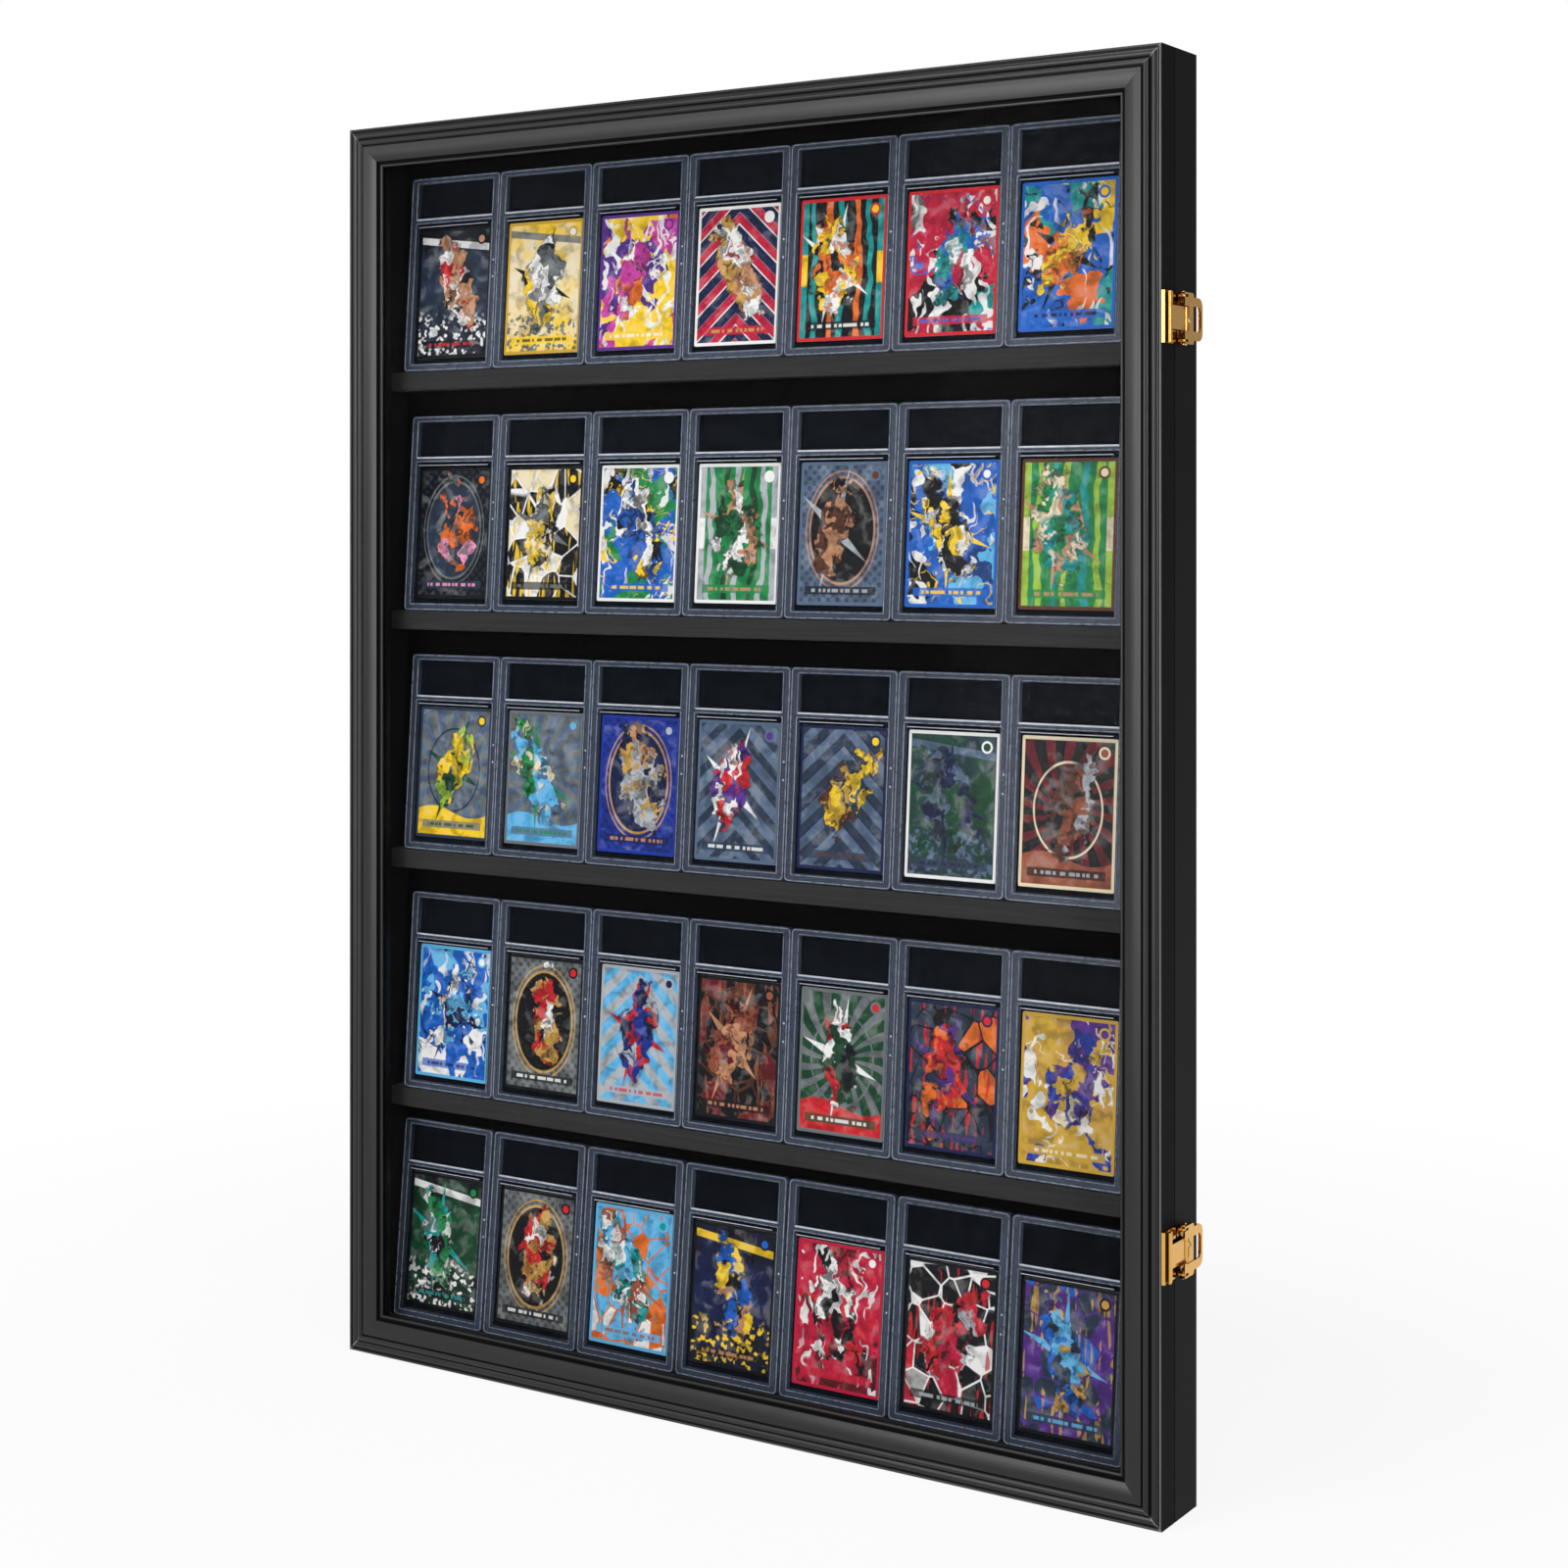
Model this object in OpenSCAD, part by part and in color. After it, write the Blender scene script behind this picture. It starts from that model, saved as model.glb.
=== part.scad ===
// Wall display case for graded cards: a shallow case with four fixed shelves, a glazed door that
// swings on two butt hinges at the left, and two draw latches that hold it shut at the right.
// The back of the case lies in the plane y = 0, the door faces -Y, and z = 0 is at half height.

/* [Card holders] */
// Width of one clear card holder
holder_w = 81.5; // [78:0.5:86]
// Height of one clear card holder
holder_h = 141; // [134:0.5:146]
// Thickness of one clear card holder, two halves together
holder_t = 7; // [6:0.2:8]
// Radius of a holder's corners
holder_r = 3; // [1.5:0.5:5]
// Width of the rail left at the sides of a holder's windows
holder_rail = 6.2; // [4:0.2:7]
// Height of the label window at the top of a holder
label_h = 26; // [18:1:32]
// Width of the bar between the label window and the card window
holder_bar = 3.2; // [2:0.2:5]
// How deep the windows are sunk into a holder's front face
window_sink = 0.7; // [0.3:0.1:1.2]
// Width of a card
card_w = 66; // [60:0.5:68]
// Height of a card
card_h = 94; // [86:0.5:98]
// Thickness of a card
card_t = 0.8; // [0.4:0.1:1.4]

/* [Shelf layout] */
// Number of holders side by side in each row
columns = 7; // [3:1:8]
// Gap between two holders in the four upper rows
holder_gap = 0.5; // [0.2:0.1:2]
// Gap between two holders in the lowest row
low_row_gap = 1.8; // [0.2:0.1:2.5]
// Free width left over in a row beside its holders
row_spare = 30.5; // [20:0.5:40]
// How far the four upper rows were pushed to the left
row_shift = 4.5; // [0:0.5:8]
// How far the lowest row was pushed to the left
low_row_shift = 7.5; // [0:0.5:9]
// Room above a holder in the three rows between two shelves
headroom = 18.6; // [12:0.2:30]
// Room above a holder in the lowest row
low_headroom = 11.4; // [8:0.2:30]
// Room above a holder in the top row
top_headroom = 16; // [10:0.5:30]

/* [Case] */
// Thickness of the case's side, top and bottom boards
board_t = 18; // [16:0.5:22]
// Depth of the case behind the door
case_d = 31.2; // [30:0.2:40]
// Thickness of the riser that the lowest row stands on
riser_t = 5; // [3:0.5:8]
// Thickness of a shelf
shelf_t = 13.2; // [9:0.2:16]
// How far a shelf's front edge stands behind the case's front edge
shelf_setback = 6; // [4:0.5:8]
// How far the riser's front edge stands behind the case's front edge
riser_setback = 0.8; // [0.4:0.2:3]
// How deep a shelf's end is let into the side board
dado_depth = 4; // [2:0.5:6]
// Thickness of the back panel
back_t = 3; // [2:0.5:4]
// Thickness of the felt-covered foam board in front of the back panel
lining_t = 4; // [2:0.5:6]
// Width of the rabbet that the back panel lies in
rabbet_w = 5; // [3:0.5:6]
// Distance from a shelf's front edge to the foot of its holders
foot_setback = 1; // [0.5:0.5:3]
// Distance from the riser's front edge to the foot of its holders
low_foot_setback = 2.6; // [1:0.2:4]

/* [Door] */
// Thickness of the door frame
door_t = 20; // [18:0.5:24]
// Gap between the door and the case
door_gap = 0.8; // [0.6:0.1:1.4]
// Width of the moulding from the outer edge to the end of its sloping face
face_end = 25; // [22:0.5:30]
// How far the glazing lip reaches past the sloping face
lip_reach = 3.6; // [2:0.2:5]
// Thickness of the glazing lip
lip_t = 2.2; // [1.6:0.2:3]
// Depth of the lip's front below the front of the door
lip_drop = 4.6; // [4:0.2:6]
// Thickness of the clear pane
pane_t = 2; // [1.6:0.2:3]
// How far the pane and the beading reach into the frame
glazing_reach = 5; // [3:0.5:7]
// Thickness of the beading that holds the pane in
bead_t = 5; // [3:0.5:7]

/* [Moulding curves] */
// Radius of the small bead on the outer arris
arris_r = 0.9; // [0.6:0.1:1.2]
// Height of the valleys between the beads, below the front of the door
valley_drop = 2.2; // [1.8:0.1:2.6]
// Middle of the broad outer bead, from the outer edge
broad_bead_at = 4.9; // [4.5:0.1:5.2]
// Half the width of the broad outer bead
broad_bead_half = 2.5; // [2:0.1:2.8]
// Rise of the broad outer bead above the valleys
broad_bead_rise = 1.1; // [0.6:0.1:1.6]
// Middle of the tall inner bead, from the outer edge
tall_bead_at = 10.2; // [9.8:0.1:10.6]
// Where the sloping face begins, from the outer edge
face_start = 13.2; // [12.8:0.1:14]
// Radius of the sloping face
face_r = 26; // [22:1:40]
// Depth of the sloping face's crown below the front of the door
face_drop = 1.1; // [0.6:0.1:1.6]

/* [Hinges] */
// Length of a hinge
hinge_l = 50; // [40:5:70]
// Distance from the top or bottom of the case to the middle of a hinge
hinge_inset = 120; // [80:5:180]
// Radius of the hinge barrel
barrel_r = 2.2; // [1.9:0.1:2.8]
// Radius of the hinge pin
hinge_pin_r = 1.1; // [0.8:0.1:1.3]
// Thickness of a hinge leaf
leaf_t = 1; // [0.8:0.1:1.4]
// Width of a hinge leaf on the wood
leaf_w = 13; // [10:0.5:16]

/* [Latches] */
// Distance from the top or bottom of the case to the middle of a latch
latch_inset = 162; // [120:2:220]
// Height of a latch
latch_h = 31; // [29:0.5:36]
// Thickness of the latch's sheet metal
sheet_t = 1; // [0.8:0.1:1.2]
// Thickness of the lever's plate and flanges
lever_t = 1.2; // [1:0.1:1.4]
// Radius of the latch's rivets and of its link pin
rivet_r = 0.8; // [0.6:0.1:0.9]
// Depth of the lever's pivot, from the front of the door
pivot_d = 23; // [22.8:0.1:24]
// Height of the lever's pivot above the case side
pivot_h = 4.2; // [4:0.1:4.6]
// Distance from the lever's pivot back to the link pin
throw_d = 6; // [5.6:0.1:7]
// How far the link pin lies below the lever's pivot, which keeps the shut lever down
over_centre = 1.3; // [0.9:0.1:1.4]
// Depth of the lever's finger end, from the front of the door
lever_end = 46.5; // [46:0.5:50]
// Width of the link's neck
neck_w = 14.2; // [12:0.2:17]

/* [Wall hangers] */
// Width of a keyhole plate
hanger_w = 11; // [10:0.5:12]
// Height of a keyhole plate
hanger_h = 46; // [40:1:60]
// Thickness of a keyhole plate
hanger_t = 1.5; // [1:0.1:2]
// Radius of the keyhole's round entry
entry_r = 4; // [3.5:0.1:4.4]
// Radius of the keyhole's narrow slot
slot_r = 2.1; // [1.8:0.1:2.4]
// Distance from the top of the case to the middle of a keyhole plate
hanger_inset = 90; // [60:5:140]

/* [Hidden] */
$fn = 48;

// Colours
wood_black = "#232325";
felt_black = "#101012";
gold = "#d8a23c";
steel = "#b9bcc0";
clear_plastic = [0.62, 0.68, 0.78, 0.45];
card_stock = "#e4e2dc";

// Clearances: a piece laid beside another, and a shaft turning in its bore
lay_gap = 0.05;
run_gap = 0.05;
// Small overshoot of a cutting tool past a face
past = 1;

// Rows are counted from the top, so that row 5 stands on the riser
rows = 5;
row_holders_w = columns * holder_w + (columns - 1) * holder_gap;
inner_w = row_holders_w + row_spare;
case_w = inner_w + 2 * board_t;
riser_top = board_t + riser_t;
low_shelf_top = riser_top + holder_h + low_headroom + shelf_t;
shelf_pitch = holder_h + headroom + shelf_t;
case_h = low_shelf_top + (rows - 2) * shelf_pitch + holder_h + top_headroom + board_t;

// Depths are counted from the wall, and every y is negative
total_d = case_d + door_gap + door_t;
lining_y = -back_t - lining_t;
shelf_front_y = shelf_setback - case_d;
riser_front_y = riser_setback - case_d;
door_back_y = -case_d - door_gap;

// The height z of a level that is counted from the underside of the case
function from_floor(h) = h - case_h / 2;
// The top of shelf n, where shelf 1 is the highest
function shelf_top(n) = low_shelf_top + (rows - 1 - n) * shelf_pitch;
// The level that the holders of a row stand on, from the underside of the case
function row_floor(row) = row == rows ? riser_top : shelf_top(row);

// A rounded rectangle about the origin
module rounded(w, h, r) {
    square([w - 2 * r, h], center = true);
    square([w, h - 2 * r], center = true);
    for (x = [r - w / 2, w / 2 - r], y = [r - h / 2, h / 2 - r]) translate([x, y]) circle(r = r);
}

// Turns a drawing in X and Y so that it stands in X and Z, and gives it a depth towards the wall
module standing(depth) {
    translate([0, depth, 0]) rotate([90, 0, 0]) linear_extrude(height = depth) children();
}

// A length cut to 45 degrees at both ends along the bottom of a frame of the given width
// and height. Its section is drawn with X inwards from the outer edge and Y to the front.
module mitred_length(length, across, section_w, section_d) {
    translate([0, 0, -across / 2])
        intersection() {
            translate([-length / 2, 0, 0])
                rotate(a = 180, v = [1, 0, 1])
                    linear_extrude(height = length) children();
            translate([0, -section_d - past, 0])
                standing(section_d + 2 * past)
                    polygon([
                        [-length / 2, 0],
                        [length / 2, 0],
                        [length / 2 - section_w, section_w],
                        [section_w - length / 2, section_w]
                    ]);
        }
}

// The four places of a frame's lengths
module at_bottom() { children(); }
module at_right() { rotate([0, -90, 0]) children(); }
module at_top() { rotate([0, 180, 0]) children(); }
module at_left() { rotate([0, 90, 0]) children(); }

// Screws. A screw points along +Z here, with its head's top at z = 0, and lies below it.
screw_r = 1.1;
screw_head_r = 2;
screw_pilot_gap = 0.05;
module flush_screw(length, head_h) {
    translate([0, 0, -head_h]) cylinder(h = head_h, r1 = screw_r, r2 = screw_head_r);
    translate([0, 0, -length]) cylinder(h = length - head_h, r = screw_r);
}
module flush_screw_cut(length, head_h) {
    grown = screw_pilot_gap;
    translate([0, 0, -head_h - grown])
        cylinder(h = head_h + grown, r1 = screw_r + grown, r2 = screw_head_r + 2 * grown);
    translate([0, 0, -grown / 10]) cylinder(h = past, r = screw_head_r + 2 * grown);
    translate([0, 0, -length - grown]) cylinder(h = length, r = screw_r + grown);
}
// A small screw with a domed, cross-slotted head that stands on the sheet metal
slot_w = 0.5;
module domed_screw(length, head_h) {
    dome_r = (screw_head_r * screw_head_r + head_h * head_h) / (2 * head_h);
    slot_floor = head_h * 0.45;
    difference() {
        intersection() {
            translate([0, 0, head_h - dome_r]) sphere(r = dome_r);
            cylinder(h = head_h, r = screw_head_r);
        }
        for (turn = [0, 90])
            rotate([0, 0, turn])
                translate([-screw_head_r, -slot_w / 2, slot_floor]) cube([2 * screw_head_r, slot_w, head_h]);
    }
    translate([0, 0, -length]) cylinder(h = length, r = screw_r);
}

// Case boards
module board_section() {
    difference() {
        square([board_t, case_d]);
        translate([board_t - rabbet_w, -past]) square([rabbet_w + past, back_t + past]);
    }
}
module board(length, across) {
    mitred_length(length, across, board_t, case_d) board_section();
}

// Wall hangers: a keyhole plate let into the back of each side board, over a pocket that
// takes the head of the wall screw
hanger_z = case_h / 2 - hanger_inset;
hanger_x = (case_w - (board_t - rabbet_w)) / 2;
hanger_screw_inset = 5;
hanger_screw_at = hanger_h / 2 - hanger_screw_inset;
hanger_screw_l = 12;
hanger_screw_head = 1.3;
keyhole_travel = 11;
keyhole_entry_at = -5;
pocket_side = 0.7;
pocket_d = 8;
// A slot with round ends as high as the keyhole's travel
module travel_slot(r) {
    translate([0, keyhole_entry_at]) circle(r = r);
    translate([-r, keyhole_entry_at]) square([2 * r, keyhole_travel]);
    translate([0, keyhole_entry_at + keyhole_travel]) circle(r = r);
}
module keyhole() {
    translate([0, keyhole_entry_at]) circle(r = entry_r);
    travel_slot(slot_r);
}
module hanger_seat_cut() {
    translate([0, -hanger_t - lay_gap, 0])
        standing(hanger_t + past)
            square([hanger_w + 2 * lay_gap, hanger_h + 2 * lay_gap], center = true);
    translate([0, -hanger_t - pocket_d, 0]) standing(pocket_d) travel_slot(entry_r + pocket_side);
    for (end = [-1, 1])
        translate([0, 0, end * hanger_screw_at])
            rotate([-90, 0, 0]) flush_screw_cut(hanger_screw_l, hanger_screw_head);
}
module keyhole_plate(side) {
    color(steel)
        translate([side * hanger_x, -hanger_t, hanger_z])
            difference() {
                standing(hanger_t) square([hanger_w, hanger_h], center = true);
                translate([0, -past, 0]) standing(hanger_t + 2 * past) keyhole();
                for (end = [-1, 1])
                    translate([0, hanger_t, end * hanger_screw_at])
                        rotate([-90, 0, 0]) flush_screw_cut(hanger_screw_l, hanger_screw_head);
            }
}
module keyhole_plate_screws() {
    color(steel)
        for (side = [-1, 1], end = [-1, 1])
            translate([side * hanger_x, 0, hanger_z + end * hanger_screw_at])
                rotate([-90, 0, 0]) flush_screw(hanger_screw_l, hanger_screw_head);
}

// Shelves, riser and back
module shelf_solid(n, grow) {
    w = inner_w + 2 * (dado_depth - lay_gap + grow);
    translate([-w / 2, shelf_front_y - grow, from_floor(shelf_top(n) - shelf_t) - grow])
        cube([w, lining_y - shelf_front_y + grow, shelf_t + 2 * grow]);
}
module shelf(n) {
    color(wood_black) shelf_solid(n, 0);
}
module base_riser() {
    color(wood_black)
        translate([-inner_w / 2 + lay_gap, riser_front_y, from_floor(board_t) + lay_gap])
            cube([inner_w - 2 * lay_gap, lining_y - riser_front_y - lay_gap, riser_t - lay_gap]);
}
module back_panel() {
    w = inner_w + 2 * (rabbet_w - lay_gap);
    h = case_h - 2 * (board_t - rabbet_w + lay_gap);
    color(wood_black) translate([-w / 2, -back_t + lay_gap, -h / 2]) cube([w, back_t - lay_gap, h]);
}
module back_lining() {
    w = inner_w - 2 * lay_gap;
    h = case_h - 2 * (board_t + lay_gap);
    color(felt_black) translate([-w / 2, lining_y + lay_gap, -h / 2]) cube([w, lining_t - lay_gap, h]);
}

// Hinges. The pin stands just outside the left face, in the middle of the gap behind the door.
hinge_side_gap = 0.3;
hinge_x = -case_w / 2 - barrel_r - hinge_side_gap;
hinge_y = -case_d - door_gap / 2;
leaf_half_gap = 0.1;
knuckles = 5;
knuckle_gap = 0.15;
knuckle_l = hinge_l / knuckles;
leaf_reach = barrel_r + hinge_side_gap + leaf_w;
leaf_start = barrel_r + hinge_side_gap;
hinge_screw_l = 10;
hinge_screw_head = 0.8;
hinge_screw_inset = 8;
hinge_screw_x = leaf_start + 0.55 * leaf_w;
hinge_screws_at = [hinge_screw_inset - hinge_l / 2, hinge_l / 2 - hinge_screw_inset];
function hinge_z(end) = end * (case_h / 2 - hinge_inset);

// One leaf with its knuckles. The case's leaf lies on +Y and has the odd knuckles.
module hinge_leaf(toward, first) {
    y_low = toward > 0 ? leaf_half_gap : -leaf_half_gap - leaf_t;
    difference() {
        union() {
            translate([leaf_start, y_low, -hinge_l / 2]) cube([leaf_w, leaf_t, hinge_l]);
            for (k = [first:2:knuckles - 1])
                translate([0, 0, -hinge_l / 2 + k * knuckle_l + knuckle_gap / 2]) {
                    cylinder(h = knuckle_l - knuckle_gap, r = barrel_r);
                    translate([0, y_low, 0]) cube([leaf_start + 1, leaf_t, knuckle_l - knuckle_gap]);
                }
        }
        translate([0, 0, -hinge_l]) cylinder(h = 2 * hinge_l, r = hinge_pin_r + run_gap);
        for (z = hinge_screws_at)
            translate([hinge_screw_x, toward * leaf_half_gap, z])
                rotate([toward * 90, 0, 0]) flush_screw_cut(hinge_screw_l, hinge_screw_head);
    }
}
module hinge_mortise(toward) {
    for (end = [-1, 1])
        translate([hinge_x, hinge_y, hinge_z(end)]) {
            y_low = toward > 0 ? 0 : -leaf_half_gap - leaf_t - lay_gap;
            translate([0, y_low, -hinge_l / 2 - lay_gap])
                cube([leaf_reach + lay_gap, leaf_half_gap + leaf_t + lay_gap, hinge_l + 2 * lay_gap]);
            for (z = hinge_screws_at)
                translate([hinge_screw_x, toward * leaf_half_gap, z])
                    rotate([toward * 90, 0, 0]) flush_screw_cut(hinge_screw_l, hinge_screw_head);
        }
}
module hinge_case_leaf(end) {
    color(gold) translate([hinge_x, hinge_y, hinge_z(end)]) hinge_leaf(1, 0);
}
module hinge_door_leaf(end) {
    color(gold) translate([hinge_x, hinge_y, hinge_z(end)]) hinge_leaf(-1, 1);
}
module hinge_pins() {
    pin_head_h = 1;
    pin_head_r = barrel_r - 0.2;
    color(gold)
        for (end = [-1, 1])
            translate([hinge_x, hinge_y, hinge_z(end)]) {
                translate([0, 0, -hinge_l / 2]) cylinder(h = hinge_l + lay_gap, r = hinge_pin_r);
                for (tip = [-1, 1])
                    translate([0, 0, tip * (hinge_l / 2 + lay_gap + pin_head_h / 2)])
                        cylinder(h = pin_head_h, r = pin_head_r, center = true);
            }
}
module hinge_screws(toward) {
    color(gold)
        for (end = [-1, 1], z = hinge_screws_at)
            translate([hinge_x + hinge_screw_x, hinge_y + toward * leaf_half_gap, hinge_z(end) + z])
                rotate([toward * 90, 0, 0]) flush_screw(hinge_screw_l, hinge_screw_head);
}

// Latches. Their drawings have X out from the side face and Y back from the front of the door.
// From the outside in: the lever's flanges, the base's ears and the link's neck
flange_in = latch_h / 2 - lever_t;
ear_t = 1.2;
side_play = 0.2;
ear_out = flange_in - side_play;
ear_in = ear_out - ear_t;
neck_half = neck_w / 2;
neck_play = 0.4;
// The base: where its plate starts and ends, and the length of its wider foot between the ears
board_edge = 0.4;
base_start = door_t + door_gap + board_edge;
base_end = 45.5;
base_foot = 6;
base_half = 11.5;
plate_corner_r = 2;
// The link pin and the lever's plate over it
pin_h = pivot_h - over_centre;
pin_d = pivot_d + throw_d;
lever_low = 5.2;
lever_top = lever_low + lever_t;
// The link's rolled eye and its rolled bar
eye_r = 1.75;
hook_r = 1.1;
hook_d = 5.6;
hook_rise = 0.6;
// The catch's plate and its lip, which the bar passes over with a little room
bar_play = 0.25;
catch_start = 1.6;
catch_end = 19.4;
catch_lip_d = 7.6;
catch_lip_h = pin_h + hook_rise - hook_r - bar_play;
// Screws
latch_screw_l = 10;
latch_screw_head = 0.95;
catch_screw_d = 13.5;
catch_screw_z = 10.7;
base_screws_d = [25, 39.5];

module at_latch(end) {
    translate([case_w / 2, -total_d, end * (case_h / 2 - latch_inset)]) children();
}
module sheet_block(x, y, half) {
    translate([x[0], y[0], -half]) cube([x[1] - x[0], y[1] - y[0], 2 * half]);
}
module latch_screw(d, z) {
    translate([sheet_t, d, z]) rotate([0, 90, 0]) domed_screw(latch_screw_l, latch_screw_head);
}
module latch_screw_cut(d, z) {
    translate([-latch_screw_l, d, z])
        rotate([0, 90, 0]) cylinder(h = latch_screw_l + sheet_t + past, r = screw_r + screw_pilot_gap);
}

// A plate on the wood, from one depth to another, with its two rear corners rounded
module wood_plate(d_start, d_end, half) {
    corner_d = d_end - plate_corner_r;
    corner_z = half - plate_corner_r;
    sheet_block([0, sheet_t], [d_start, corner_d], half);
    sheet_block([0, sheet_t], [d_start, d_end], corner_z);
    for (side = [-1, 1])
        translate([0, corner_d, side * corner_z])
            rotate([0, 90, 0]) cylinder(h = sheet_t, r = plate_corner_r);
}

// Catch on the door: a plate whose lip is folded up and forward
module catch_plate(end) {
    catch_fold_r = 0.55;
    color(gold)
        at_latch(end)
            difference() {
                union() {
                    wood_plate(catch_start, catch_end, latch_h / 2);
                    // the front edge and the lip stand up from the plate and are rounded over
                    for (d = [catch_start + catch_fold_r, catch_lip_d]) {
                        sheet_block([0, catch_lip_h - catch_fold_r], [d - catch_fold_r, d + catch_fold_r],
                            latch_h / 2);
                        translate([catch_lip_h - catch_fold_r, d, 0])
                            cylinder(h = latch_h, r = catch_fold_r, center = true);
                    }
                }
                for (side = [-1, 1]) latch_screw_cut(catch_screw_d, side * catch_screw_z);
            }
}
module catch_screws() {
    color(gold)
        for (end = [-1, 1], side = [-1, 1])
            at_latch(end) latch_screw(catch_screw_d, side * catch_screw_z);
}

// Base on the case: a plate with two ears that carry the lever
module latch_base(end) {
    ear_r = 2;
    color(gold)
        at_latch(end)
            difference() {
                union() {
                    sheet_block([0, sheet_t], [base_start, base_start + base_foot], ear_out);
                    wood_plate(base_start, base_end, base_half);
                    for (side = [-1, 1])
                        translate([0, pivot_d, side * (ear_in + ear_t / 2)]) {
                            translate([0, -(pivot_d - base_start), -ear_t / 2])
                                cube([pivot_h, pivot_d - base_start + ear_r, ear_t]);
                            translate([pivot_h, 0, 0])
                                cylinder(h = ear_t, r = pivot_d - base_start, center = true);
                        }
                }
                translate([pivot_h, pivot_d, -latch_h])
                    cylinder(h = 2 * latch_h, r = rivet_r + run_gap);
                for (d = base_screws_d) latch_screw_cut(d, 0);
            }
}
module latch_base_screws() {
    color(gold)
        for (end = [-1, 1], d = base_screws_d)
            at_latch(end) latch_screw(d, 0);
}
module latch_rivets() {
    rivet_head_t = 0.5;
    rivet_head_r = 1.4;
    color(gold)
        for (end = [-1, 1], side = [-1, 1])
            at_latch(end)
                translate([pivot_h, pivot_d, side * (ear_in + latch_h / 2) / 2]) {
                    cylinder(h = latch_h / 2 - ear_in + 2 * lay_gap, r = rivet_r, center = true);
                    translate([0, 0, side * ((latch_h / 2 - ear_in) / 2 + lay_gap + rivet_head_t / 2)])
                        cylinder(h = rivet_head_t, r = rivet_head_r, center = true);
                }
}

// Lever: a flanged plate, open at the front for the link's neck, with a D-shaped window
// behind it, slots for the base's ears and a rounded finger end
lever_front = pivot_d - 2.2;
flange_r = 2.2;
shoulder_d = 34;
shoulder_r = 2;
finger_half = 13;
finger_r = 5.5;
finger_band = 2.4;
ear_slot_end = pivot_d + 2.8;
ear_slot_w = ear_t + 2 * side_play;
ear_slot_mid = ear_in + ear_t / 2;
window_half = neck_half + neck_play;
window_end = lever_end - finger_band;
lever_window_r = 3.4;
roll_r = 1.2;
// The lever's plate and its cuts are drawn with X back from the door's front, Y along the latch
module lever_plate_outline() {
    translate([lever_front, -latch_h / 2]) square([shoulder_d - lever_front - shoulder_r, latch_h]);
    translate([lever_front, shoulder_r - latch_h / 2])
        square([shoulder_d - lever_front, latch_h - 2 * shoulder_r]);
    for (side = [-1, 1]) {
        translate([shoulder_d - shoulder_r, side * (latch_h / 2 - shoulder_r)]) circle(r = shoulder_r);
        translate([lever_end - finger_r, side * (finger_half - finger_r)]) circle(r = finger_r);
    }
    translate([shoulder_d - shoulder_r, -finger_half])
        square([lever_end - finger_r - shoulder_d + shoulder_r, 2 * finger_half]);
    translate([shoulder_d, finger_r - finger_half])
        square([lever_end - shoulder_d, 2 * (finger_half - finger_r)]);
}
module lever_plate_cuts() {
    corner_d = window_end - lever_window_r;
    corner_z = window_half - lever_window_r;
    for (side = [-1, 1]) {
        translate([lever_front - past, side * ear_slot_mid - ear_slot_w / 2])
            square([ear_slot_end - lever_front + past, ear_slot_w]);
        translate([corner_d, side * corner_z]) circle(r = lever_window_r);
    }
    translate([lever_front - past, -window_half])
        square([corner_d - lever_front + past, 2 * window_half]);
    translate([lever_front, -corner_z]) square([window_end - lever_front, 2 * corner_z]);
}
// The edge of the finger end is rolled under the plate: two bent corners and three straights
module finger_roll() {
    straight_half = finger_half - finger_r;
    straight_end = lever_end - finger_r;
    translate([lever_top - roll_r, 0, 0]) {
        translate([0, lever_end - roll_r, 0]) cylinder(h = 2 * straight_half, r = roll_r, center = true);
        for (side = [-1, 1]) {
            translate([0, straight_end, side * straight_half])
                rotate([0, 90, 0])
                    rotate([0, 0, side > 0 ? 90 : 0])
                        rotate_extrude(angle = 90)
                            translate([finger_r - roll_r, 0]) circle(r = roll_r, $fn = 24);
            translate([0, shoulder_d - 1, side * (finger_half - roll_r)])
                rotate([-90, 0, 0]) cylinder(h = straight_end - shoulder_d + 1, r = roll_r);
        }
    }
}
module lever(end) {
    color(gold)
        at_latch(end)
            difference() {
                union() {
                    translate([lever_top, 0, 0])
                        rotate([0, -90, 0])
                            rotate([0, 0, 90])
                                linear_extrude(height = lever_t)
                                    mirror([0, 1]) difference() {
                                        lever_plate_outline();
                                        lever_plate_cuts();
                                    }
                    for (side = [-1, 1]) lever_flange(side);
                    finger_roll();
                }
                translate([pivot_h, pivot_d, -latch_h])
                    cylinder(h = 2 * latch_h, r = rivet_r + run_gap);
                translate([pin_h, pin_d, -latch_h])
                    cylinder(h = 2 * latch_h, r = rivet_r + lay_gap / 2);
            }
}
// A flange's round end at the pivot, its straight low edge and its round corner at the back
module lever_flange(side) {
    flange_low = 1.9;
    corner_d = shoulder_d - shoulder_r - flange_r;
    // the flange runs a little way into the plate
    flange_top = lever_low + lever_t / 2;
    translate([0, 0, side > 0 ? flange_in : -flange_in - lever_t])
        linear_extrude(height = lever_t) {
            translate([pivot_h, pivot_d]) circle(r = flange_r);
            translate([pivot_h, lever_front]) square([flange_top - pivot_h, 2 * flange_r]);
            translate([flange_low, pivot_d]) square([flange_top - flange_low, corner_d - pivot_d]);
            translate([flange_low + flange_r, corner_d]) circle(r = flange_r);
            translate([flange_low + flange_r, pivot_d])
                square([flange_top - flange_low - flange_r, corner_d + flange_r - pivot_d]);
        }
}
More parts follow.
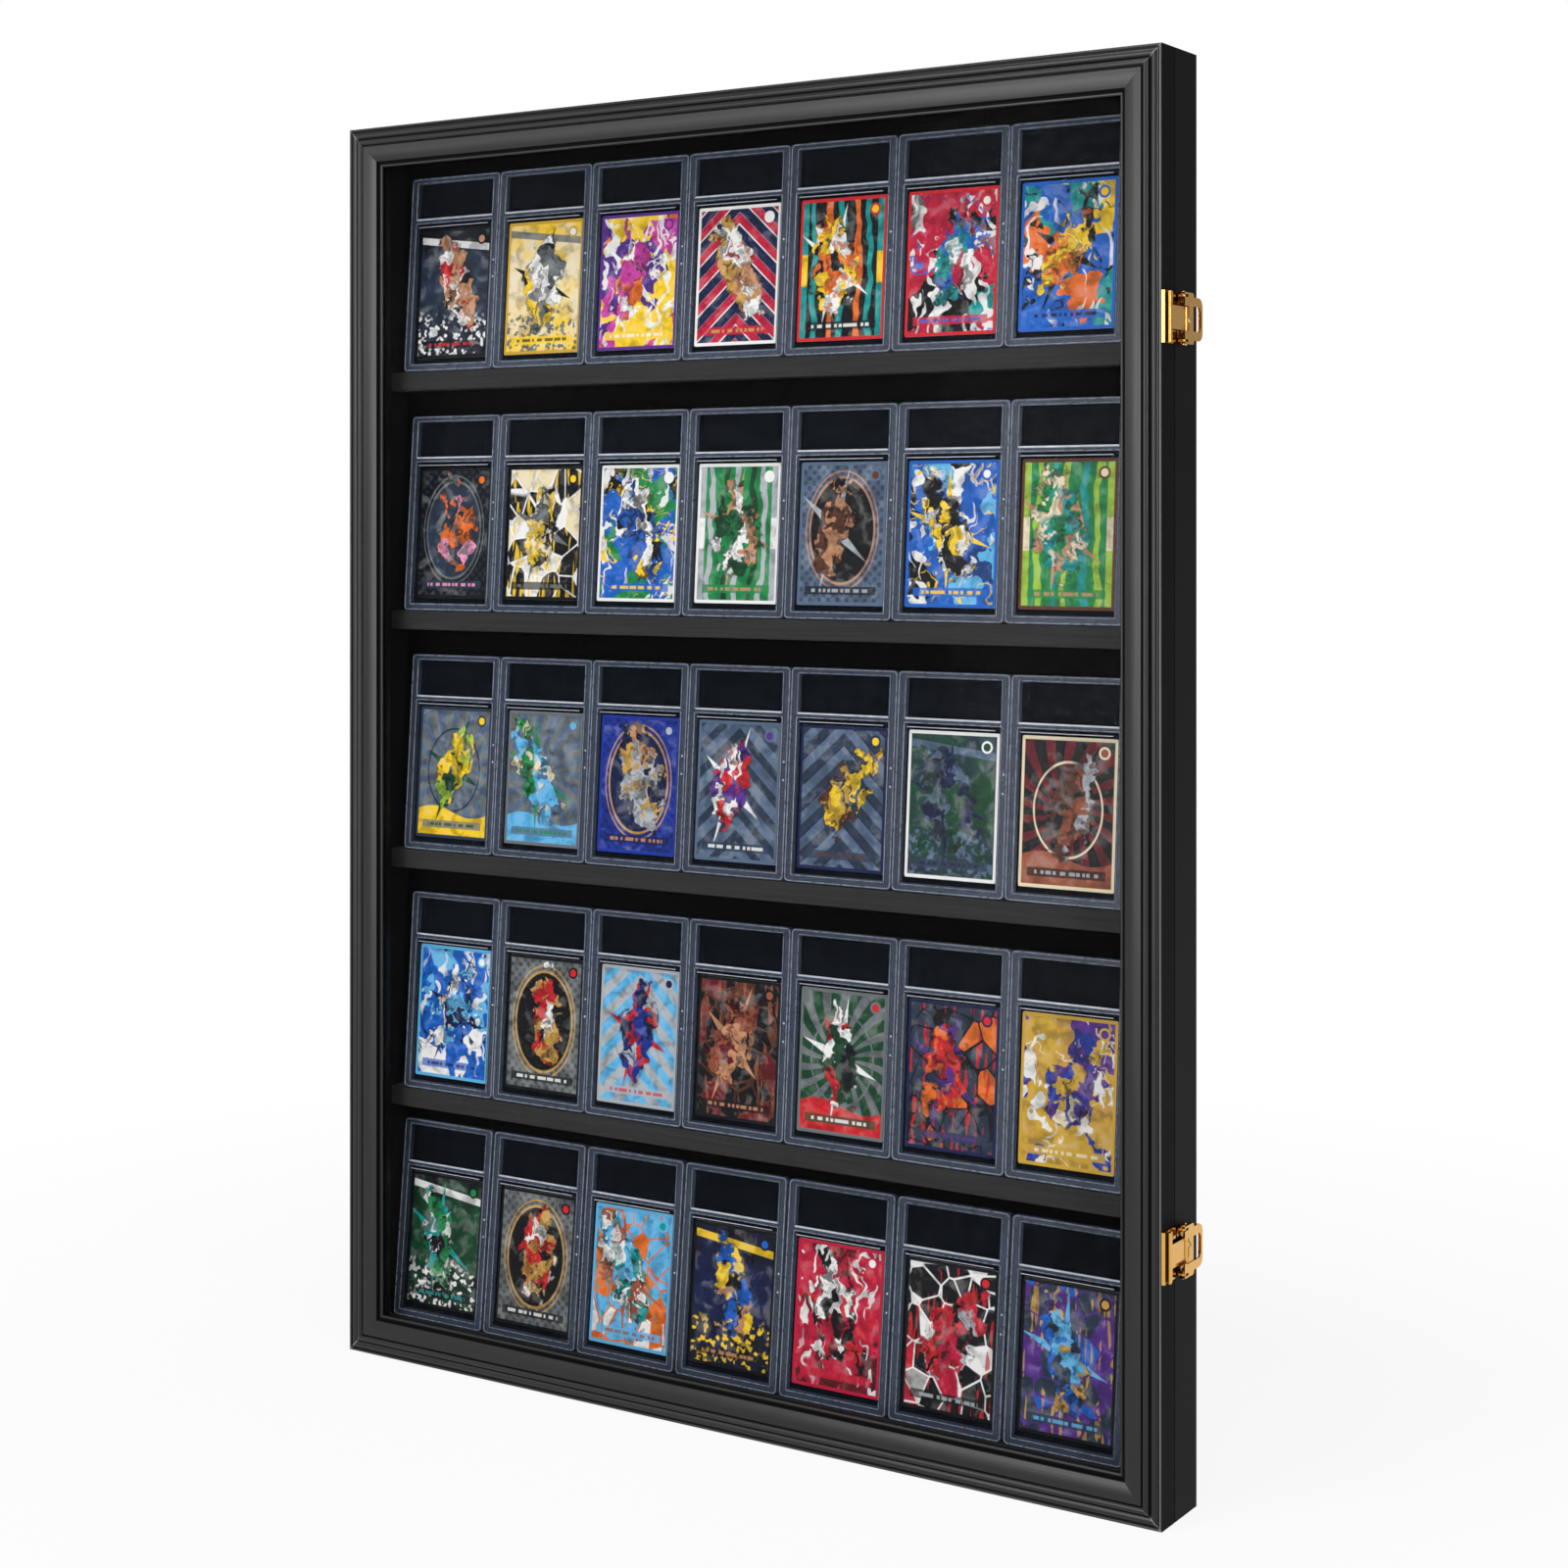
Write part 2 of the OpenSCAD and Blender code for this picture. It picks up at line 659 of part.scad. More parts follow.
module link_pin(end) {
    head_t = 0.4;
    head_r = 1.2;
    color(gold)
        at_latch(end)
            translate([pin_h, pin_d, 0]) {
                cylinder(h = latch_h + 2 * lay_gap, r = rivet_r, center = true);
                for (side = [-1, 1])
                    translate([0, 0, side * (latch_h / 2 + lay_gap + head_t / 2)])
                        cylinder(h = head_t, r = head_r, center = true);
            }
}

// Link: a neck rolled round the link pin, and a wide rolled bar that hooks over the catch's lip
module link(end) {
    bar_half = latch_h / 2 - 0.4;
    color(gold)
        at_latch(end)
            difference() {
                union() {
                    translate([pin_h, pin_d, 0]) cylinder(h = neck_w, r = eye_r, center = true);
                    sheet_block([pin_h - sheet_t / 2, pin_h + sheet_t / 2], [hook_d + 3, pin_d], neck_half);
                    sheet_block([pin_h - sheet_t / 2, pin_h + sheet_t / 2], [hook_d, hook_d + 4], bar_half);
                    translate([pin_h + hook_rise, hook_d, 0])
                        cylinder(h = 2 * bar_half, r = hook_r, center = true);
                }
                translate([pin_h, pin_d, -latch_h])
                    cylinder(h = 2 * latch_h, r = rivet_r + run_gap);
            }
}

// Door. The moulding's section has X inwards from the outer edge and Y out from the door's back.
valley_h = door_t - valley_drop;
tall_bead_r = valley_drop;
broad_bead_r = (broad_bead_half * broad_bead_half + broad_bead_rise * broad_bead_rise)
    / (2 * broad_bead_rise);
face_crown_at = face_start + 1.8;
lip_h = door_t - lip_drop;
glass_h = lip_h - lip_t;
moulding_w = face_end + lip_reach;
// The lip's rounded end stands past the rabbet for the pane and the beading
lip_end_r = lip_t / 2;
lip_root = 1;
rabbet_edge = moulding_w - lip_end_r - glazing_reach;
module moulding_section() {
    difference() {
        union() {
            square([face_start, valley_h]);
            translate([arris_r, valley_h]) circle(r = arris_r);
            translate([broad_bead_at, valley_h + broad_bead_rise - broad_bead_r])
                circle(r = broad_bead_r);
            translate([tall_bead_at, valley_h]) circle(r = tall_bead_r);
            intersection() {
                translate([face_start, 0]) square([face_end - face_start, door_t]);
                translate([face_crown_at, door_t - face_drop - face_r]) circle(r = face_r, $fn = 96);
            }
            translate([face_end - lip_root, glass_h]) square([lip_root + lip_reach - lip_end_r, lip_t]);
            translate([moulding_w - lip_end_r, glass_h + lip_end_r]) circle(r = lip_end_r);
        }
        translate([rabbet_edge, -past]) square([glazing_reach + lip_t, glass_h + past]);
    }
}
module moulding(length, across) {
    translate([0, door_back_y, 0])
        mitred_length(length, across, moulding_w, door_t) moulding_section();
}
// The pane and the beading stand a little clear of the rabbet's side
glazing_play = 0.3;
glazing_edge = rabbet_edge + glazing_play;
module door_pane() {
    w = case_w - 2 * glazing_edge;
    h = case_h - 2 * glazing_edge;
    color([0.8, 0.85, 0.9, 0.25])
        translate([-w / 2, door_back_y - glass_h + lay_gap, -h / 2])
            cube([w, pane_t, h]);
}
module beading_section() {
    bead_w = glazing_reach - 2 * glazing_play;
    cove_r = 2.2;
    translate([glazing_edge, glass_h - pane_t - 2 * lay_gap - bead_t])
        difference() {
            square([bead_w, bead_t]);
            translate([bead_w, 0]) circle(r = cove_r);
        }
}
module door_beading() {
    color(wood_black)
        translate([0, door_back_y, 0]) {
            at_bottom() beading(case_w, case_h);
            at_top() beading(case_w, case_h);
            at_left() beading(case_h, case_w);
            at_right() beading(case_h, case_w);
        }
}
module beading(length, across) {
    mitre_gap = 0.1;
    mitred_length(length - 2 * mitre_gap, across, moulding_w, door_t) beading_section();
}

// Card holders. Each leans back until its top rests on the lining. A holder is drawn with its
// lower rear edge on the origin, and its front faces -Y.
function foot_y(row) = (row == rows ? riser_front_y + low_foot_setback : shelf_front_y + foot_setback)
    + holder_t;
lean_gap = 0.1;
function lean(row) = asin((lining_y - lean_gap - foot_y(row)) / holder_h);
function row_gap(row) = row == rows ? low_row_gap : holder_gap;
function row_pitch(row) = holder_w + row_gap(row);
function row_middle(row) = row == rows ? -low_row_shift : -row_shift;
module each_holder(row) {
    for (c = [0:columns - 1])
        translate([
            row_middle(row) + (c - (columns - 1) / 2) * row_pitch(row),
            foot_y(row),
            from_floor(row_floor(row)) + lay_gap
        ])
            rotate([-lean(row), 0, 0]) children();
}
half_t = holder_t / 2;
window_w = holder_w - 2 * holder_rail;
top_rail = 4.4;
bottom_rail = 5.4;
card_window_h = holder_h - top_rail - label_h - holder_bar - bottom_rail;
label_mid = holder_h - top_rail - label_h / 2;
card_mid = bottom_rail + card_window_h / 2;
pocket_gap = 0.6;
card_r = 2;
window_r = 2;
// A standing slab with rounded corners, its middle at height mid, from y_low for a thickness
module slab(w, h, r, mid, y_low, t) {
    translate([0, y_low + t, mid]) rotate([90, 0, 0]) linear_extrude(height = t) rounded(w, h, r);
}
module card_pocket(y_low, t) {
    slab(card_w + pocket_gap, card_h + pocket_gap, card_r, card_mid, y_low, t);
}
module holder_front(row) {
    color(clear_plastic)
        each_holder(row)
            difference() {
                slab(holder_w, holder_h, holder_r, holder_h / 2, -holder_t, half_t - lay_gap);
                slab(window_w, label_h, window_r, label_mid, -holder_t - past, window_sink + past);
                slab(window_w, card_window_h, window_r, card_mid, -holder_t - past, window_sink + past);
                card_pocket(-half_t - card_t / 2 - lay_gap, past + card_t);
            }
}
module holder_back(row) {
    color(clear_plastic)
        each_holder(row)
            difference() {
                slab(holder_w, holder_h, holder_r, holder_h / 2, -half_t, half_t);
                slab(window_w, holder_h - top_rail - bottom_rail, window_r,
                    (holder_h + bottom_rail - top_rail) / 2, -window_sink, window_sink + past);
                card_pocket(-half_t - past, past + card_t / 2 + lay_gap);
            }
}
module cards(row) {
    color(card_stock)
        each_holder(row)
            slab(card_w, card_h, card_r, card_mid, -half_t - card_t / 2, card_t);
}

// Case boards with their cuts
module case_side(side) {
    color(wood_black)
        difference() {
            if (side < 0) at_left() board(case_h, case_w);
            else at_right() board(case_h, case_w);
            for (n = [1:rows - 1]) shelf_solid(n, lay_gap);
            translate([side * hanger_x, 0, hanger_z]) hanger_seat_cut();
            if (side < 0) hinge_mortise(1);
            else for (end = [-1, 1], d = base_screws_d) at_latch(end) latch_screw_cut(d, 0);
        }
}
module case_top() {
    color(wood_black) at_top() board(case_w, case_h);
}
module case_bottom() {
    color(wood_black) at_bottom() board(case_w, case_h);
}
module door_left_stile() {
    color(wood_black)
        difference() {
            at_left() moulding(case_h, case_w);
            hinge_mortise(-1);
        }
}
module door_right_stile() {
    color(wood_black)
        difference() {
            at_right() moulding(case_h, case_w);
            for (end = [-1, 1], side = [-1, 1])
                at_latch(end) latch_screw_cut(catch_screw_d, side * catch_screw_z);
        }
}
module door_top_rail() {
    color(wood_black) at_top() moulding(case_w, case_h);
}
module door_bottom_rail() {
    color(wood_black) at_bottom() moulding(case_w, case_h);
}

case_side(-1);  // case_left_side
case_side(1);  // case_right_side
case_top();
case_bottom();
back_panel();
back_lining();
base_riser();
shelf(1);  // shelf_1
shelf(2);  // shelf_2
shelf(3);  // shelf_3
shelf(4);  // shelf_4
keyhole_plate(-1);  // keyhole_plate_left
keyhole_plate(1);  // keyhole_plate_right
keyhole_plate_screws();
door_left_stile();
door_right_stile();
door_top_rail();
door_bottom_rail();
door_pane();
door_beading();
hinge_case_leaf(1);  // upper_hinge_case_leaf
hinge_case_leaf(-1);  // lower_hinge_case_leaf
hinge_door_leaf(1);  // upper_hinge_door_leaf
hinge_door_leaf(-1);  // lower_hinge_door_leaf
hinge_pins();
hinge_screws(1);  // hinge_case_screws
hinge_screws(-1);  // hinge_door_screws
catch_plate(1);  // upper_catch
catch_plate(-1);  // lower_catch
catch_screws();
latch_base(1);  // upper_latch_base
latch_base(-1);  // lower_latch_base
latch_base_screws();
latch_rivets();
lever(1);  // upper_lever
lever(-1);  // lower_lever
link_pin(1);  // upper_link_pin
link_pin(-1);  // lower_link_pin
link(1);  // upper_link
link(-1);  // lower_link
holder_back(1);  // holder_backs_1
holder_back(2);  // holder_backs_2
holder_back(3);  // holder_backs_3
holder_back(4);  // holder_backs_4
holder_back(5);  // holder_backs_5
holder_front(1);  // holder_fronts_1
holder_front(2);  // holder_fronts_2
holder_front(3);  // holder_fronts_3
holder_front(4);  // holder_fronts_4
holder_front(5);  // holder_fronts_5
cards(1);  // cards_1
cards(2);  // cards_2
cards(3);  // cards_3
cards(4);  // cards_4
cards(5);  // cards_5
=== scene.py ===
# %% [markdown]
# # A wall display case for graded cards
# The solids come from the CAD model, already in metres and in place. This lesson gives them
# their finishes, makes the printed cards and the raised beads of the clear holders, and sets up
# the camera, the floor and the lights. The CAD model's own box is kept, and the floor is laid
# at its foot.

import math

import bmesh
import bpy
from mathutils import Matrix, Vector


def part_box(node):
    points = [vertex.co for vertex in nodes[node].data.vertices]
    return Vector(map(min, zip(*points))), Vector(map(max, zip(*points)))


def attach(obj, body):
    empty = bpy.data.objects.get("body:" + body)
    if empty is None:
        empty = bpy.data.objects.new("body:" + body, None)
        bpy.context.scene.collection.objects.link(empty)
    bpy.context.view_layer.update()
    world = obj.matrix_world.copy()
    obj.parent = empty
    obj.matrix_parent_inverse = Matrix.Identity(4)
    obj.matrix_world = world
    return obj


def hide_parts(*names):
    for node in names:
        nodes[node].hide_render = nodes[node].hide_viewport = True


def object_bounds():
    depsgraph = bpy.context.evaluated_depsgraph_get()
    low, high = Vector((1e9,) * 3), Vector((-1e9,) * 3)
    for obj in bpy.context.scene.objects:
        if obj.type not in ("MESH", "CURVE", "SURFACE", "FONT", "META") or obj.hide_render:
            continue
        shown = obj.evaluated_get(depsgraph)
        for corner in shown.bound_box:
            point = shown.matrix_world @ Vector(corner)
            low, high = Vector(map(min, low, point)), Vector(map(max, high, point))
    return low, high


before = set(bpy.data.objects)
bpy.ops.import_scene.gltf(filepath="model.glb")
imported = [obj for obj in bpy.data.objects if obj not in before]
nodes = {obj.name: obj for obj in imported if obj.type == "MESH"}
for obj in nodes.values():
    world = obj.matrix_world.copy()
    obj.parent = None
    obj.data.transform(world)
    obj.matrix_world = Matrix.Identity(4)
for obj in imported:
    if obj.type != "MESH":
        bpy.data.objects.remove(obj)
cad_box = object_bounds()
MM = 0.001
ROWS = 5
COLUMNS = 7

# %% [markdown]
# ## Camera
# The photo was taken from the right of the case, with the camera level and the horizon well
# above the picture's middle. A level camera keeps upright edges parallel, so the picture is
# moved by the lens shift and not by tilting the camera.

# %% Camera
camera_data = bpy.data.cameras.new("photo_camera")
camera_data.lens = 60.42
camera_data.sensor_width = 36.0
camera_data.shift_y = -0.165
camera = bpy.data.objects.new("photo_camera", camera_data)
camera.location = (0.9765, -1.480, 0.1552)
camera.rotation_euler = (math.radians(90), 0, math.radians(32.83))
bpy.context.scene.collection.objects.link(camera)
bpy.context.scene.camera = camera
print("camera at", tuple(camera.location))

# %% [markdown]
# ## Shader maths as Python
# A node tree is hard to read as a list of links. Here a Wire wraps one output socket, and
# adding or multiplying wires adds Math nodes, so that a pattern reads like a formula. Colours
# go through Mix nodes instead, because a Math node would turn them grey.

# %% Wires
class Wire:
    """One output of a node, to be used in a formula."""

    def __init__(self, finish, socket):
        self.finish = finish
        self.socket = socket

    def maths(self, operation, *others, clamp=False):
        values = dict(enumerate((self, *others)))
        return self.finish.node("ShaderNodeMath", {"operation": operation, "use_clamp": clamp}, values)

    def __add__(self, other):
        return self.maths("ADD", other)

    def __sub__(self, other):
        return self.maths("SUBTRACT", other)

    def __mul__(self, other):
        return self.maths("MULTIPLY", other)

    def __truediv__(self, other):
        return self.maths("DIVIDE", other)

    def __rsub__(self, other):
        return self.maths("MULTIPLY_ADD", -1, other)

    def __abs__(self):
        return self.maths("ABSOLUTE")

    __radd__ = __add__
    __rmul__ = __mul__

    def least(self, other):
        return self.maths("MINIMUM", other)

    def most(self, other):
        return self.maths("MAXIMUM", other)

    def fraction(self):
        return self.maths("FRACT")

    def sine(self):
        return self.maths("SINE")

    def above(self, edge, softness=0.02):
        """0 under the edge and 1 over it, turning over a soft width."""
        return self.maths("MULTIPLY_ADD", 1 / softness, 0.5 - edge / softness, clamp=True)

    def below(self, edge, softness=0.02):
        return self.maths("MULTIPLY_ADD", -1 / softness, 0.5 + edge / softness, clamp=True)

    def between(self, low, high, softness=0.02):
        return self.above(low, softness) * self.below(high, softness)

    def output(self, place):
        """Another output of the same node."""
        return Wire(self.finish, self.socket.node.outputs[place])


def far(x, y):
    """How far a spot lies from the middle."""
    return (x * x + y * y).maths("SQRT")

# %% [markdown]
# ## One finish, one material
# Every finish starts from the Principled shader. Numbers that are the same all over are set on
# its sockets, and only what changes over the surface is wired to it.

# %% Colours
def light(red, green, blue):
    """A colour as a picture program shows it, 0 to 255, turned into the shader's light units."""
    shares = [c / 255 for c in (red, green, blue)]
    return tuple(s / 12.92 if s <= 0.04045 else ((s + 0.055) / 1.055) ** 2.4 for s in shares) + (1.0,)


def grey(level):
    return light(level, level, level + 1)

# %% Finishes
class Finish:
    """A material, built round one Principled shader."""

    def __init__(self, name, **sockets):
        self.material = bpy.data.materials.new(name)
        self.material.use_nodes = True
        self.tree = self.material.node_tree
        self.shader = self.tree.nodes["Principled BSDF"]
        self.surface = self.tree.nodes["Material Output"].inputs["Surface"]
        for socket, value in sockets.items():
            self.set(socket.replace("_", " "), value)

    def connect(self, socket, value):
        if isinstance(value, Wire):
            self.tree.links.new(value.socket, socket)
        else:
            socket.default_value = value

    def set(self, socket, value):
        self.connect(self.shader.inputs[socket], value)

    def node(self, kind, settings=None, values=None, output=0):
        """Any node: its settings first, then the values or wires of its sockets."""
        new = self.tree.nodes.new(kind)
        for name, value in (settings or {}).items():
            setattr(new, name, value)
        for key, value in (values or {}).items():
            self.connect(new.inputs[key], value)
        return Wire(self, new.outputs[output])

    def mix(self, share, first, second):
        """The first colour where share is 0, the second where it is 1."""
        return self.node("ShaderNodeMix", {"data_type": "RGBA", "clamp_factor": True},
                         {0: share, 6: first, 7: second}, output=2)

    def place(self):
        """Where a spot is on the object, in metres."""
        return self.node("ShaderNodeTexCoord", output=3)

    def split(self, spot):
        apart = self.node("ShaderNodeSeparateXYZ", None, {0: spot})
        return [apart.output(axis) for axis in range(3)]

    def noise(self, scale, detail=2.0, stretch=(1, 1, 1), spot=None):
        stretched = self.node("ShaderNodeMapping", None, {"Vector": spot or self.place(), "Scale": stretch})
        return self.node("ShaderNodeTexNoise", None, {"Vector": stretched, "Scale": scale, "Detail": detail})

    def bump(self, height, distance, strength=1.0):
        self.set("Normal", self.node("ShaderNodeBump", None,
                                     {"Height": height, "Distance": distance, "Strength": strength}))


def dress(finish, *names):
    """Gives CAD nodes a finish in place of the plain one they came with."""
    for name in names:
        mesh = nodes[name].data
        mesh.materials.clear()
        mesh.materials.append(finish.material)
    print(finish.material.name, "on", len(names), "nodes")

# %% [markdown]
# ## Black lacquered wood
# The frame and the boards are wood under thin satin black lacquer. Up close the grain shows as
# faint streaks along each length, so there are two materials, one for uprights and one for
# lengths across. The lacquer is uneven, so its roughness follows a broad noise.

# %% Wood
GRAIN_ACROSS = 900.0
GRAIN_ALONG = 14.0
HALF_W, HALF_H, DEPTH = 320.0, 441.0, 52.0


class Wood(Finish):
    """Black wood whose grain runs up or across."""

    def __init__(self, name, upright, dark, pale, roughness, shine):
        super().__init__(name, Specular_IOR_Level=shine)
        streak = (GRAIN_ACROSS, GRAIN_ACROSS, GRAIN_ALONG)
        self.grain = self.noise(1.0, 3.0, streak if upright else streak[::-1])
        self.clouds = self.noise(9.0, 2.0)
        self.colour = self.mix(self.grain.above(0.55, 0.4), grey(dark), grey(pale))
        self.bump(self.grain, 0.00008, 0.7)
        self.set("Roughness", (self.clouds - 0.5) * 0.12 + (self.grain - 0.5) * 0.12 + roughness)
        self.set("Base Color", self.colour)


dress(Wood("board_wood_upright", True, 14, 22, 0.5, 0.04), "case_left_side", "case_right_side", "back_panel")
dress(Wood("board_wood_across", False, 14, 22, 0.5, 0.04), "case_top", "case_bottom", "door_beading")
dress(Wood("shelf_wood", False, 44, 54, 0.6, 0.05), "base_riser", *[f"shelf_{n}" for n in range(1, ROWS)])

# %% [markdown]
# ## The moulding's edges
# On the door's moulding the lacquer is matt where a polishing cloth can't reach, in the grooves
# and on the outer sides. A painted highlight lies along the sharp arris, pale on each upright
# and faint on the rails, and painted highlights draw the mitres as fine light lines. All of
# these follow from a spot's distance to the outer edge.

# %% Door wood
GROOVES = [(1.9, 2.3), (7.3, 8.1), (12.5, 13.3), (24.4, 27.0)]
ARRIS_W, ARRIS_DROP = 1.3, 1.3


def door_wood(name, upright, arris):
    wood = Wood(name, upright, 10, 17, 0.32, 0.38)
    x, y, z = wood.split(wood.place())
    from_side, from_end = HALF_W - abs(x) / MM, HALF_H - abs(z) / MM
    inwards = from_side if upright else from_end
    matt = from_side.below(0.05, 0.02).most(from_end.below(0.05, 0.02))
    for start, end in GROOVES:
        matt = matt.most(inwards.between(start, end, 0.3))
    dull = wood.node("ShaderNodeBsdfPrincipled", None, {
        "Base Color": wood.colour, "Roughness": 0.6, "Specular IOR Level": 0.04})
    # Painted highlights: a pale line along each mitre near the outer edge, and a pale band along the outer
    # arris.
    mitre_highlight = abs(from_side - from_end).below(0.45, 0.3) * from_side.below(9, 5)
    arris_highlight = inwards.below(ARRIS_W, 0.4) * (y / MM).below(ARRIS_DROP - DEPTH, 0.4)
    colour = wood.mix(mitre_highlight * wood.clouds.above(0.35, 0.3), wood.colour, grey(140))
    wood.set("Base Color", wood.mix(arris_highlight * (wood.clouds * 0.4 + 0.6), colour, grey(arris)))
    lacquer = Wire(wood, wood.shader.outputs[0])
    wood.connect(wood.surface, wood.node("ShaderNodeMixShader", None, {0: matt, 1: lacquer, 2: dull}))
    return wood


# The last number is the grey of the painted arris highlight.
dress(door_wood("frame_wood_upright", True, 172), "door_left_stile", "door_right_stile")
dress(door_wood("frame_wood_across", False, 40), "door_top_rail", "door_bottom_rail")

# %% [markdown]
# ## Felt
# The board behind the holders is covered with black felt. Felt scatters light off its short
# fibres, so it is fully rough, slightly mottled, and has a little sheen.

# %% Felt
felt = Finish("black_felt", Roughness=1.0, Sheen_Weight=0.01, Sheen_Roughness=0.5, Specular_IOR_Level=0.0)
fibres = felt.noise(2600.0, 3.0)
felt.set("Base Color", felt.mix(fibres, grey(5), grey(16)))
felt.bump(fibres, 0.0003, 0.7)
dress(felt, "back_lining")

# %% [markdown]
# ## Where each card stands
# The holders lean back a little. The box of a row's cards gives its height and depth, and with
# the card's own height and thickness that gives the lean, so new pieces land on the solids
# without any fitting by eye.

# %% Places of the cards
CARD_W, CARD_H, CARD_T = 66 * MM, 94 * MM, 0.8 * MM
SHELL_T = 3.45 * MM


class Row:
    """One row of holders: how far they lean, and where each one stands."""

    def __init__(self, number):
        self.number = number
        low, high = [Vector(corner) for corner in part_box(f"cards_{number}")]
        depth, height = high.y - low.y, high.z - low.z
        self.lean = math.atan2(CARD_H * depth - CARD_T * height, CARD_H * height - CARD_T * depth)
        self.pitch = (high.x - low.x - CARD_W) / (COLUMNS - 1)
        self.first = low.x + CARD_W / 2
        self.card_foot = low + Vector((0, 0, CARD_T * math.sin(self.lean)))
        shell_low = Vector(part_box(f"holder_fronts_{number}")[0])
        self.shell_foot = shell_low + Vector((0, 0, SHELL_T * math.sin(self.lean)))

    def seat(self, column, foot):
        """Stands a drawing up on a front face: its X goes right, its Y up and its Z forward."""
        middle = Vector((self.first + column * self.pitch, foot.y, foot.z))
        return Matrix.Translation(middle) @ Matrix.Rotation(math.pi / 2 - self.lean, 4, "X")


rows = [Row(number + 1) for number in range(ROWS)]
for row in rows:
    print("row", row.number, "lean", round(math.degrees(row.lean), 2), "pitch", round(row.pitch / MM, 1))

# %% [markdown]
# ## Clear pane and clear holders
# A clear sheet can be made with real refraction, which needs many light bounces through the
# pane and two shells at every card. A low alpha gives the same look from outside and stays
# clean. The holders' plastic is thicker at its frame than at its windows, so one material
# works out from the spot's place in its holder whether it is frame or window.

# %% Clear plastics
RAIL, BOTTOM_RAIL, BAR_FOOT, LABEL_FOOT, LABEL_TOP = 34.55, 5.4, 107.4, 110.6, 136.6

pane = Finish("clear_pane", Roughness=0.03, Specular_IOR_Level=0.1)
smears = pane.noise(5.0, 2.0)
pane.set("Base Color", pane.mix(smears, grey(20), grey(50)))
pane.set("Alpha", smears * 0.02 + 0.02)
dress(pane, "door_pane")


def clear_plastic(name, row, tint, frame_alpha, window_alpha, shine):
    plastic = Finish(name, Specular_IOR_Level=shine)
    x, y, z = plastic.split(plastic.place())
    steps = (x - (row.first - row.pitch / 2)) / row.pitch
    across = abs((steps.fraction() - 0.5) * (row.pitch / MM))
    up = (z - row.shell_foot.z) / (math.cos(row.lean) * MM)
    windows = up.between(BOTTOM_RAIL, BAR_FOOT, 0.1) + up.between(LABEL_FOOT, LABEL_TOP, 0.1)
    window = across.below(RAIL, 0.1) * windows
    haze = plastic.noise(90.0, 3.0)
    plastic.set("Base Color", plastic.mix(haze, light(*tint), light(*[c + 22 for c in tint])))
    plastic.set("Roughness", (haze - 0.5) * 0.1 + 0.18)
    plastic.set("Alpha", window * (window_alpha - frame_alpha) + (haze - 0.5) * 0.03 + frame_alpha)
    return plastic


for row in rows:
    n = row.number
    front = clear_plastic(f"holder_front_plastic_{n}", row, (76, 88, 108), 0.31, 0.01, 0.2)
    back = clear_plastic(f"holder_back_plastic_{n}", row, (22, 28, 38), 0.40, 0.22, 0.02)
    dress(front, f"holder_fronts_{n}")
    dress(back, f"holder_backs_{n}")

# %% [markdown]
# ## Gold plated hardware
# The latches and hinges are stamped steel with a bright gold plate. Polished metal shows only
# its surroundings, so its colour is set and its roughness varies slightly: buffing leaves fine
# streaks, and the plate is duller where fingers work it. In its nooks and between parts, which
# an Ambient Occlusion node finds, the plate is darkened to a brown: painted shade.

# %% Metals
NOOK_REACH = 4 * MM


def plated(name, colour, roughness, streaks):
    metal = Finish(name, Metallic=1.0)
    buffing = metal.noise(1.0, 2.0, (300, 300, 3000))
    wear = metal.noise(160.0, 3.0)
    plate = metal.mix(wear, light(*colour), light(*[int(c * 0.92) for c in colour]))
    # Painted shade: the Ambient Occlusion node darkens the plate in its nooks.
    nooks = metal.node("ShaderNodeAmbientOcclusion", None, {"Distance": NOOK_REACH}, output=1)
    painted_nook_shade = light(*[int(c * 0.25) for c in colour])
    metal.set("Base Color", metal.mix(nooks.above(0.55, 0.7), painted_nook_shade, plate))
    metal.set("Roughness", (buffing - 0.5) * streaks + (wear - 0.5) * 0.08 + roughness)
    metal.bump(wear, 0.0001, 0.3)
    return metal


gold = plated("gold_plate", (232, 178, 92), 0.12, 0.08)
pale_gold = plated("gold_screw", (238, 200, 130), 0.14, 0.06)
zinc = plated("zinc_plate", (188, 190, 194), 0.32, 0.15)
ENDS = ("upper", "lower")
dress(gold, *[f"{end}_{part}" for end in ENDS for part in ("catch", "latch_base", "lever", "link")])
dress(gold, *[f"{end}_hinge_{part}_leaf" for end in ENDS for part in ("case", "door")])
dress(pale_gold, "catch_screws", "latch_base_screws", "latch_rivets", "hinge_pins",
      "hinge_case_screws", "hinge_door_screws", *[f"{end}_link_pin" for end in ENDS])
dress(zinc, "keyhole_plate_left", "keyhole_plate_right", "keyhole_plate_screws")

# %% [markdown]
# ## New pieces
# A helper turns a bmesh into an object, gives it its materials, and lets it ride on its body.
# Seven copies of one drawing make a row.

# %% Pieces
def piece(name, work, finishes, body):
    mesh = bpy.data.meshes.new(name)
    work.to_mesh(mesh)
    work.free()
    for finish in finishes:
        mesh.materials.append(finish.material)
    new = bpy.data.objects.new(name, mesh)
    bpy.context.scene.collection.objects.link(new)
    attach(new, body)
    return new


def add_copy(work, drawing, matrix):
    """Adds one copy of a drawing to a bmesh and returns its new points."""
    before = len(work.verts)
    work.from_mesh(drawing)
    work.verts.ensure_lookup_table()
    fresh = work.verts[before:]
    bmesh.ops.transform(work, matrix=matrix, verts=fresh)
    return fresh

# %% [markdown]
# ## The raised beads of a holder
# A clear holder has a raised bead round its face and another round each window. Their plastic
# is painted pale, a painted highlight for the light that such beads catch, so they draw thin
# pale outlines. A rectangle gets round corners from a vertex bevel, two insets lift it to a
# crest and bring it down again, and a bridge between its two edges closes it underneath.

# %% Beads
BEAD_LIFT = 0.3 * MM
CORNER_STEPS = 4


